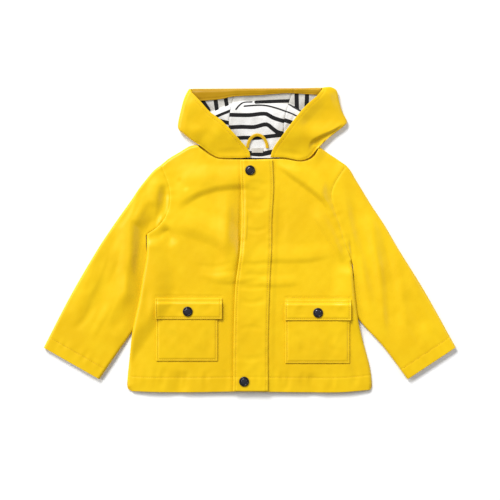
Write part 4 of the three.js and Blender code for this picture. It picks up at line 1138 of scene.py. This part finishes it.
# Profiles of a cap's ring and of its middle: radius and height
SNAP_RING = [(4.5, 0), (6.9, 0), (7.3, 0.15), (7.5, 0.6), (7.45, 1.1), (7.2, 1.6), (6.7, 2.0), (6.1, 2.15), (5.5, 2.1),
             (5.1, 1.9), (4.85, 1.55), (4.7, 1.1)]
SNAP_MIDDLE = [(0, 0.2), (4.6, 0.2), (4.66, 1.3), (4.3, 1.55), (3.4, 1.75), (2.2, 1.9), (1.1, 1.97), (0, 2.0)]


def turned_mesh(profile, x, y, z, count=56, ring=False):
    """A profile of (radius, height) turned about an upright line. Its first and last points may lie on the line."""
    points, rows, faces = [], [], []
    for radius, high in profile:
        if radius == 0:
            rows.append([len(points)] * count)
            points.append([x, y, z + high])
            continue
        rows.append(list(range(len(points), len(points) + count)))
        points.extend([x + radius * math.cos(a), y + radius * math.sin(a), z + high]
                      for a in np.linspace(0, 2 * math.pi, count, endpoint=False))
    pairs = list(zip(rows[:-1], rows[1:])) + ([(rows[-1], rows[0])] if ring else [])
    for a, b in pairs:
        for k in range(count):
            face = [a[k], a[(k + 1) % count], b[(k + 1) % count], b[k]]
            faces.append(list(dict.fromkeys(face)))
    return points, faces


def make_snap(name, x, y, on):
    around = np.linspace(0, 2 * math.pi, 24, endpoint=False)
    seat = max(float(on(np.array([x]), np.array([y]))[0]),
               on(x + SNAP_RADIUS * np.cos(around), y + SNAP_RADIUS * np.sin(around)).max()) - 0.25
    for kind, profile, rim, material, replaced in [("cap", SNAP_RING, SNAP_RADIUS + 0.1, CAP, [name]),
                                                   ("middle", SNAP_MIDDLE, SNAP_MIDDLE_RADIUS, CAP_MIDDLE, [])]:
        points, faces = turned_mesh(profile, x, y, seat, ring=kind == "cap")
        radius = np.hypot(np.array(points)[:, 0] - x, np.array(points)[:, 1] - y)
        make(f"{name}_{kind}", points, faces, material, replaced, sharp=50,
             values={"edge": rim - radius})


# Hood. Its sides wrap from under the table side round their outer edge to the rim on top.
HOOD_LOW = 7.4
HOOD_RISE = 7.6
hood_path = {name: smooth(points) for name, points in HOOD.items()}
rim_lines = pair(hood_path, "rim", 24)
rim_left_x = by_height(HOOD["rimLeft"])
hood_low_lines = pair(hood_path, "low", 12)
hood_creases = creased(HOOD_FOLDS + FINE_HOOD)


def hood_plain(x, y):
    """Height of the upper face of the hood's sides, without stitches."""
    rim = reach(rim_lines, x, y)
    left_fall = 4.6 * ease((y - 152) / 30) * ease((x - read(rim_left_x, y)) / 50)
    high = HOOD_LOW + HOOD_RISE * ease((y - 126) / 42) - 2.6 * ease(rim / 60)
    return high - left_fall - 2.2 * ease((y - 200) / 26) + hood_creases(x, y)


def hood_height(x, y):
    height = hood_plain(x, y) + 0.3 * uneven(x, y, 15, 2.2) + gathers(hood_low_lines, x, y, 0.9, 2.4, 0.15, 8)
    for line in rim_lines:
        distance, _, along = nearest(line, x, y)
        distance = distance - RIM_STITCH
        height = height + groove(distance, 0.25, 1.4) + pucker(distance, along * HOOD_TALL, 0.1, 6)
    return height


def make_hood_side(name, side, seam_x, outward):
    rim, turn, low = (hood_path[key + side] for key in ("rim", "turn", "low"))
    upper = patch(straight(rim(0.0), turn(0.0)), low, rim, turn)
    seam = straight([seam_x, HOOD_TOP_Y], [seam_x, HOOD_BASE_Y])
    lower = patch(straight(turn(0.0), seam(0.0)), straight(turn(1.0), seam(1.0)), turn, seam)
    fold = [0, 0.35, 0.9, 1.7, 2.8, 4.2, 6]
    us = spread(HOOD_WIDE, 1.4, near=EDGE, far=fold, marks=[RIM_STITCH])
    base = spread(HOOD_WIDE, 3, near=fold, far=EDGE)[1:]
    vs = spread(HOOD_TALL, 1.5, near=EDGE, far=EDGE)
    x, y = laid(upper, us, vs)
    ends = np.stack([upper(np.ones(vs.shape), vs), upper(np.zeros(vs.shape), vs)])
    across = np.linalg.norm(ends[0] - ends[1], axis=-1)[:, None]
    radius = np.minimum(HOOD_TURN, across * 0.7)
    edge_place = turn(vs)
    edge_high = (hood_plain(edge_place[:, 0], edge_place[:, 1]) - 1)[:, None]
    from_turn = (1 - us)[None, :] * across
    high = mix(edge_high, hood_height(x, y), ease(from_turn / 14))
    top = np.stack([x, y, high * (1 + turned(from_turn, radius)) / 2], -1)
    beneath = lower(base[None, :], vs[:, None])
    inset = np.linalg.norm(beneath - edge_place[:, None, :], axis=-1)
    bottom = np.stack([beneath[..., 0], beneath[..., 1], edge_high * (1 - turned(inset, radius)) / 2], -1)
    grid = np.concatenate([top, bottom], axis=1)
    from_rim = np.concatenate([us[None, :] * across, 99 + 0 * inset], axis=1)
    edge = np.minimum(from_rim, from_ends(vs, 100)[:, None])
    outer_grid, inner_grid = offset(grid, CLOTH, False, outward, rounding(edge))
    piece = wall(name, outer_grid, inner_grid, SHELL, edge)
    line = sampled(part(aside(rim, -RIM_STITCH * outward), 0.09, 0.93), 50)
    sewn = stitches(name, [line], hood_height)


def make_hood_centre():
    us = spread(CENTRE_WIDE, 3, near=EDGE, far=EDGE)
    vs = spread(CENTRE_TALL, 3, near=EDGE, far=EDGE)
    place = rectangle(HOOD_SEAM_RIGHT + SEAM_GAP, HOOD_SEAM_LEFT - SEAM_GAP, HOOD_BASE_Y + 0.4, HOOD_TOP_Y)
    x, y = laid(place, us, vs)
    edge = borders(us, vs, CENTRE_WIDE, CENTRE_TALL)
    high, low = sheet_layers(x, y, CLOTH + 0 * x, CLOTH, edge)
    piece = wall("hood_centre", high, low, SHELL, edge)


# Lining where the rim frames it: its centre strip and a part of each side
LINING_SEAM_DIP = 0.7
LINING_LOW = 117.5
SEAM_RIGHT = [[-17, LINING_LOW], [-29, 150], [-31, 180]]
SEAM_LEFT = [[38, LINING_LOW], [50, 150], [52, 180]]
OUT_RIGHT = [[-32, 125], [-52, 150], [-70, 182]]
OUT_LEFT = [[50, 128], [72, 156], [88, 186]]
lining_creases = creased(FINE_LINING)


def lining_top(x):
    return float(read(FACING_LOW, x)) + 5


def lining_path(points, top_x, shift=0.0):
    return smooth([[x + shift, y] for x, y in [*points, [top_x, lining_top(top_x)]]])


lining_seams = [sampled(lining_path(SEAM_RIGHT, -24), 20), sampled(lining_path(SEAM_LEFT, 64), 20)]


def lining_plain(x, y):
    """Height of the lining: a band behind the rim, a roof fold, and the crown sloping to the neck."""
    below = read(ROOF, x) - y
    band = 4.9 + 2.0 * clamp(-below / np.maximum(read(FACING_LOW, x) - read(ROOF, x), 6))
    crown = 3.4 + 8.6 * (1 - ease((below - 6) / 66)) - 1.4 * ease((8 - below) / 8)
    return mix(band, crown, ease((below + 0.5) / 3))


def lining_height(x, y):
    dip = LINING_SEAM_DIP * np.exp(-(reach(lining_seams, x, y) / 1.6) ** 2)
    soft = lining_creases(x, y) + 0.25 * uneven(x, y, 9, 3.9)
    free = lining_plain(x, y) + soft * ease((hood_plain(x, y) - CLOTH - lining_plain(x, y)) / 2)
    return np.minimum(free - dip, hood_plain(x, y) - CLOTH - 0.9)


# Stripes: half width in millimetres, whether above or below the roof fold (+1, -1, or 0 for both), path in pixels
STRIPES = {
    "hood_lining_centre": [
        (3.0, -1, [(226, 115), (249, 115.3), (265.5, 114), (272.5, 117.7), (281, 120.6), (287, 122)]),
        (3.0, -1, [(226, 127.6), (242.7, 126.9), (254, 127.1), (266.5, 124.5), (272.3, 128.4), (277.2, 132),
                   (286, 134)]),
        (2.9, -1, [(234, 138.2), (246, 137.6), (257, 137.9), (267.5, 136.5), (282, 135)]),
        (3.6, -1, [(243, 152.2), (248.4, 152.9), (260.3, 154), (271.2, 152), (277, 151)]),
        (1.7, -1, [(228, 159), (244, 158.8), (262, 158.9), (284, 159)]),
        (1.2, 0, [(236, 109.6), (239.5, 105.4), (243.5, 102.6), (252, 102)]),
        (2.6, 0, [(256, 102.2), (265, 101.7), (278, 101.2), (296, 100.6)]),
        (1.2, -1, [(244.3, 106.4), (257.5, 105.4), (266, 105.8), (277, 108.6), (287, 112.2)]),
    ],
    "hood_lining_right": [
        (3.1, 1, [(201, 98), (204.9, 104.4), (208.6, 110)]),
        (3.1, 1, [(214.2, 90), (215.6, 100.4), (217.2, 112)]),
        (3.0, 1, [(224, 88), (225.6, 98.5), (227.4, 108)]),
        (2.8, 1, [(235, 87), (237, 97.2), (239.6, 106)]),
        (2.1, -1, [(214, 118), (220.5, 115), (227, 112.4), (235, 109.2)]),
        (2.9, 0, [(218, 120.4), (224.6, 122.2), (231, 123.6)]),
        (1.7, -1, [(220, 159.4), (230, 159), (246, 158.8)]),
    ],
    "hood_lining_left": [
        (3.2, 1, [(296.4, 86), (296.6, 96), (297, 110)]),
        (3.2, 1, [(307.4, 86), (307, 96), (306.4, 110)]),
        (2.4, -1, [(286, 102.4), (290, 104.2), (295, 107.4), (304, 112)]),
        (3.0, -1, [(279, 118.6), (284, 120.2), (296, 124)]),
        (1.1, -1, [(284, 111), (290, 113.2), (297, 116.4)]),
        (1.7, -1, [(264, 158.9), (280, 159), (292, 159.4)]),
    ],
}


def stripe_field(name, x, y):
    """How far inside a stripe each place is, in millimetres: above 0 within one."""
    below = read(ROOF, x) - y
    field = np.full(np.shape(x), -9.0)
    for half, where, points in STRIPES[name]:
        inside = half - nearest(sampled(smooth(photo(points)), 20), x, y)[0]
        if where:
            inside = np.minimum(inside, -where * below + 0.6)
        field = np.maximum(field, inside)
    return field


def make_lining(name, start, end):
    place = patch(straight(start(0.0), end(0.0)), straight(start(1.0), end(1.0)), start, end)
    wide = float(np.linalg.norm(start(0.6) - end(0.6)))
    us = spread(wide, 0.95, near=THIN_EDGE, far=THIN_EDGE)
    vs = spread(LINING_TALL, 0.95, near=[0, 0.5], far=[0, 0.5])
    x, y = laid(place, us, vs)
    edge = from_ends(us, wide)[None, :] + 0 * x
    high, low = sheet_layers(x, y, lining_height(x, y), LINING_CLOTH, edge, floor=CLOTH + 0.1 + 0 * x)
    # band marks the lining above the roof fold, which the jersey greys with painted shade
    piece = wall(name, high, low, JERSEY, edge, "striped_jersey", stripe=stripe_field(name, x, y),
                 band=ease((y - read(ROOF, x)) / 2.5))


def make_crown():
    """The rest of the hood, folded away between shell and lining: rounded, and layered at its edge."""
    outline = smooth([[-84, 176], [-88, 190], [-80, 204], [-50, 209], [15, 212], [75, 214], [106, 206], [114, 190],
                      [110, 174], [92, 158], [60, 147], [15, 143], [-40, 147], [-72, 158], [-84, 176]])
    middle = np.array([15, 178])
    shares = [1, 0.99, 0.975, 0.955, 0.94, 0.93, 0.9, 0.85, 0.75, 0.6, 0.4, 0.2]
    layer_step = {1: 0.0, 0.99: 0.5, 0.975: 0.75, 0.955: 0.8, 0.94: 0.62, 0.93: 0.8}
    low = CLOTH + 0.35

    def under(x, y):
        return np.minimum(lining_plain(x, y) - LINING_CLOTH - 1, hood_plain(x, y) - CLOTH - 1)

    count = 120
    rings = []
    for share in shares:
        xy = mix(middle, outline(np.arange(count) / count), share)
        x, y = xy[:, 0], xy[:, 1]
        roof = np.min([under(x + dx, y + dy) for dx in (-8, 0, 8) for dy in (-18, -9, 0, 9)], axis=0)
        swell = math.sqrt(1 - share ** 6) if share < 0.93 else 0.45 * layer_step.get(share, 0.8)
        high = low + 0.3 + np.maximum(roof - low - 0.6, 0.2) * swell
        rings.append(np.stack([x, y, high], -1))
    upper = np.array(rings)
    flat = upper.copy()
    flat[..., 2] = low
    points = np.concatenate([upper.reshape(-1, 3), flat.reshape(-1, 3), [[*middle, upper[-1, :, 2].max()]],
                             [[*middle, low]]])
    total = upper.size // 3
    faces = []
    for k in range(count):
        following = (k + 1) % count
        for row in range(len(shares) - 1):
            a, b = row * count + k, row * count + following
            faces += [[a, a + count, b + count, b], [a + total, b + total, b + count + total, a + count + total]]
        faces.append([k, following, following + total, k + total])
        last = (len(shares) - 1) * count
        faces += [[last + k, 2 * total, last + following], [last + k + total, last + following + total, 2 * total + 1]]
    edge = 0.0 * points[:, 0] + 9
    piece = make("hood_crown_cloth", points, faces, PLAIN_JERSEY, ["hood_crown"],
                 values={"edge": edge, "stripe": edge - 18})


FACING_SEAM_X = 66.5


def make_facing():
    """Facing inside the rim, which tilts down from the hood's top edge and turns over it."""
    low = smooth(FACING_LOW)
    high = straight([-85.5, HOOD_TOP_Y - 0.3], [108, HOOD_TOP_Y + 0.6])
    place = patch(low, high, straight(low(0.0), high(0.0)), straight(low(1.0), high(1.0)))
    us = spread(FACING_WIDE, 1.6, near=EDGE, far=EDGE)
    vs = spread(FACING_TALL, 0.8, near=THIN_EDGE, far=[0, 0.3, 0.7, 1.3, 2, 3, 4.2, 5.6])
    x, y = laid(place, us, vs)
    v = vs[:, None]
    bow = 1 - 0.6 * np.abs(2 * us - 1)[None, :] / 10
    tilt = 9.4 + 1.8 * clamp(v * 1.2)
    free = (tilt + 0.3 * uneven(x, y, 12, 6.1)) * bow
    seam = np.exp(-((x - FACING_SEAM_X) / 1.2) ** 2)
    free = free - 0.8 * seam + groove(v * FACING_TALL - 2.2, 0.35, 1.2)
    z = mix(CLOTH + 0.4, free, turned((1 - v) * FACING_TALL, 6))
    edge = np.minimum(v * FACING_TALL, from_ends(us, FACING_WIDE)[None, :])
    floor = np.where(y > 221, CLOTH + 0.2, 0.2)
    upper, lower = sheet_layers(x, y, z, CLOTH, edge, floor=floor)
    # The facing is given the darkened coated cloth: painted shade
    piece = wall("hood_facing", upper, lower, SHELL_PAINTED_SHADE, edge)


# Hanging loop at the back of the neck, and the bare tab beneath it
LOOP_X, LOOP_Y, LOOP_WIDE, LOOP_TALL, LOOP_STRIP = 11.5, 137.5, 17, 22, 4.6
TAB_BOX = (3, 20, 130.5, 138)


def make_loop():
    shares = spread(60, 0.9)
    across = spread(LOOP_STRIP, 0.5, near=THIN_EDGE, far=THIN_EDGE)
    angle = math.pi * (1 - shares)[:, None]
    inset = LOOP_STRIP * across[None, :]
    x = LOOP_X + (LOOP_WIDE - inset) * np.cos(angle)
    y = LOOP_Y + (LOOP_TALL - inset) * np.sin(angle)
    edge = np.broadcast_to(from_ends(across, LOOP_STRIP)[None, :], x.shape)
    z = lining_height(x, y) + 1.9 + 0.6 * np.sin(angle) + 0.2 * np.sin(math.pi * across)[None, :]
    high, low = sheet_layers(x, y, z, 1.3, edge)
    piece = wall("hanging_loop", high, low, LOOP_CLOTH, edge)
    middle = np.linspace(0.04, 0.96, 50)
    line = np.stack([LOOP_X + (LOOP_WIDE - LOOP_STRIP / 2) * np.cos(math.pi * (1 - middle)),
                     LOOP_Y + (LOOP_TALL - LOOP_STRIP / 2) * np.sin(math.pi * (1 - middle))], -1)

    def on_loop(a, b):
        return lining_height(a, b) + 2.1 + 0.6 * clamp((b - LOOP_Y) / LOOP_TALL)

    sewn = stitches("hanging_loop", [line], on_loop, pitch=2.8)


def make_tab():
    x0, x1, y0, y1 = TAB_BOX
    us = spread(x1 - x0, 0.7, near=THIN_EDGE[:3], far=THIN_EDGE[:3])
    vs = spread(y1 - y0, 0.6, near=THIN_EDGE[:2], far=THIN_EDGE[:2])
    x, y = laid(rectangle(*TAB_BOX), us, vs)
    edge = box_edge(TAB_BOX, x, y)
    z = lining_height(x, y) + 1.25 + 0.25 * np.sin((x - x0) / (x1 - x0) * math.pi)
    high, low = sheet_layers(x, y, z, 0.8, edge, floor=lining_height(x, y) + 0.12)
    piece = wall("size_tab", high, low, TAB, edge, "tab")


# Lamps that face the coat's middle: name, place and width in metres, power in watts
LAMPS = [
    ("key", (-2.6, 4.9, 4.2), 2.6, 530),
    ("side_right", (0.9, 0.2, 0.6), 0.4, 2.5),
    ("side_left", (-3.0, 0.75, 1.9), 1.5, 54),
]
SKY_STRENGTH = 0.3
FLOOR_HALF = 8
FLOOR_Z = -0.0004


def make_light(name, place, size, power):
    data = bpy.data.lights.new(name, "AREA")
    data.shape = "DISK"
    data.size = size
    data.energy = power
    lamp = bpy.data.objects.new(name, data)
    lamp.location = place
    lamp.rotation_euler = (-Vector(place)).to_track_quat("-Z", "Y").to_euler()
    bpy.context.scene.collection.objects.link(lamp)


def make_studio():
    bpy.context.scene.view_settings.view_transform = "Standard"
    world = bpy.data.worlds.new("studio")
    world.use_nodes = True
    world.node_tree.nodes["Background"].inputs["Color"].default_value = (1, 1, 1, 1)
    world.node_tree.nodes["Background"].inputs["Strength"].default_value = SKY_STRENGTH
    bpy.context.scene.world = world
    for lamp in LAMPS:
        make_light(*lamp)
    mesh = bpy.data.meshes.new("floor")
    corners = [(a * FLOOR_HALF, b * FLOOR_HALF, FLOOR_Z) for a, b in [(-1, -1), (1, -1), (1, 1), (-1, 1)]]
    mesh.from_pydata(corners, [], [(0, 1, 2, 3)])
    floor = bpy.data.objects.new("floor", mesh)
    bpy.context.scene.collection.objects.link(floor)
    n = Nodes("floor")
    n.shade(Base_Color=(0.93, 0.93, 0.93, 1), Roughness=0.85, Specular_IOR_Level=0.1)
    mesh.materials.append(n.material)


def make_all():
    hem, reverse_hem = path["hem"], backwards(path["hem"])
    share = hem_share(CENTRE_X)
    make_back()
    make_front("front_right", joined(backwards(path["neckRight"]), backwards(path["shoulderRight"]), 0.6),
               part(reverse_hem, 1 - share, 1), CENTRE_X - SEAM_GAP, side_and_armhole_right)
    make_front("front_left", joined(backwards(path["neckLeft"]), backwards(path["shoulderLeft"]), 0.68),
               part(hem, share, 1), CENTRE_X + SEAM_GAP, side_and_armhole_left)
    make_placket()
    for side in POCKETS:
        make_pocket(side)
        make_flap(side)
    make_sleeve("sleeve_right", "Right", 1)
    make_sleeve("sleeve_left", "Left", -1)
    for snap in SNAPS:
        make_snap(*snap)
    make_hood_side("hood_side_right", "Right", HOOD_SEAM_RIGHT, 1)
    make_hood_side("hood_side_left", "Left", HOOD_SEAM_LEFT, -1)
    make_hood_centre()
    make_crown()
    gap = SEAM_GAP / 2
    make_lining("hood_lining_centre", lining_path(SEAM_RIGHT, -24, gap), lining_path(SEAM_LEFT, 64, -gap))
    make_lining("hood_lining_right", lining_path(OUT_RIGHT, -82), lining_path(SEAM_RIGHT, -24, -gap))
    make_lining("hood_lining_left", lining_path(SEAM_LEFT, 64, gap), lining_path(OUT_LEFT, 106))
    make_facing()
    make_loop()
    make_tab()


make_all()
make_studio()
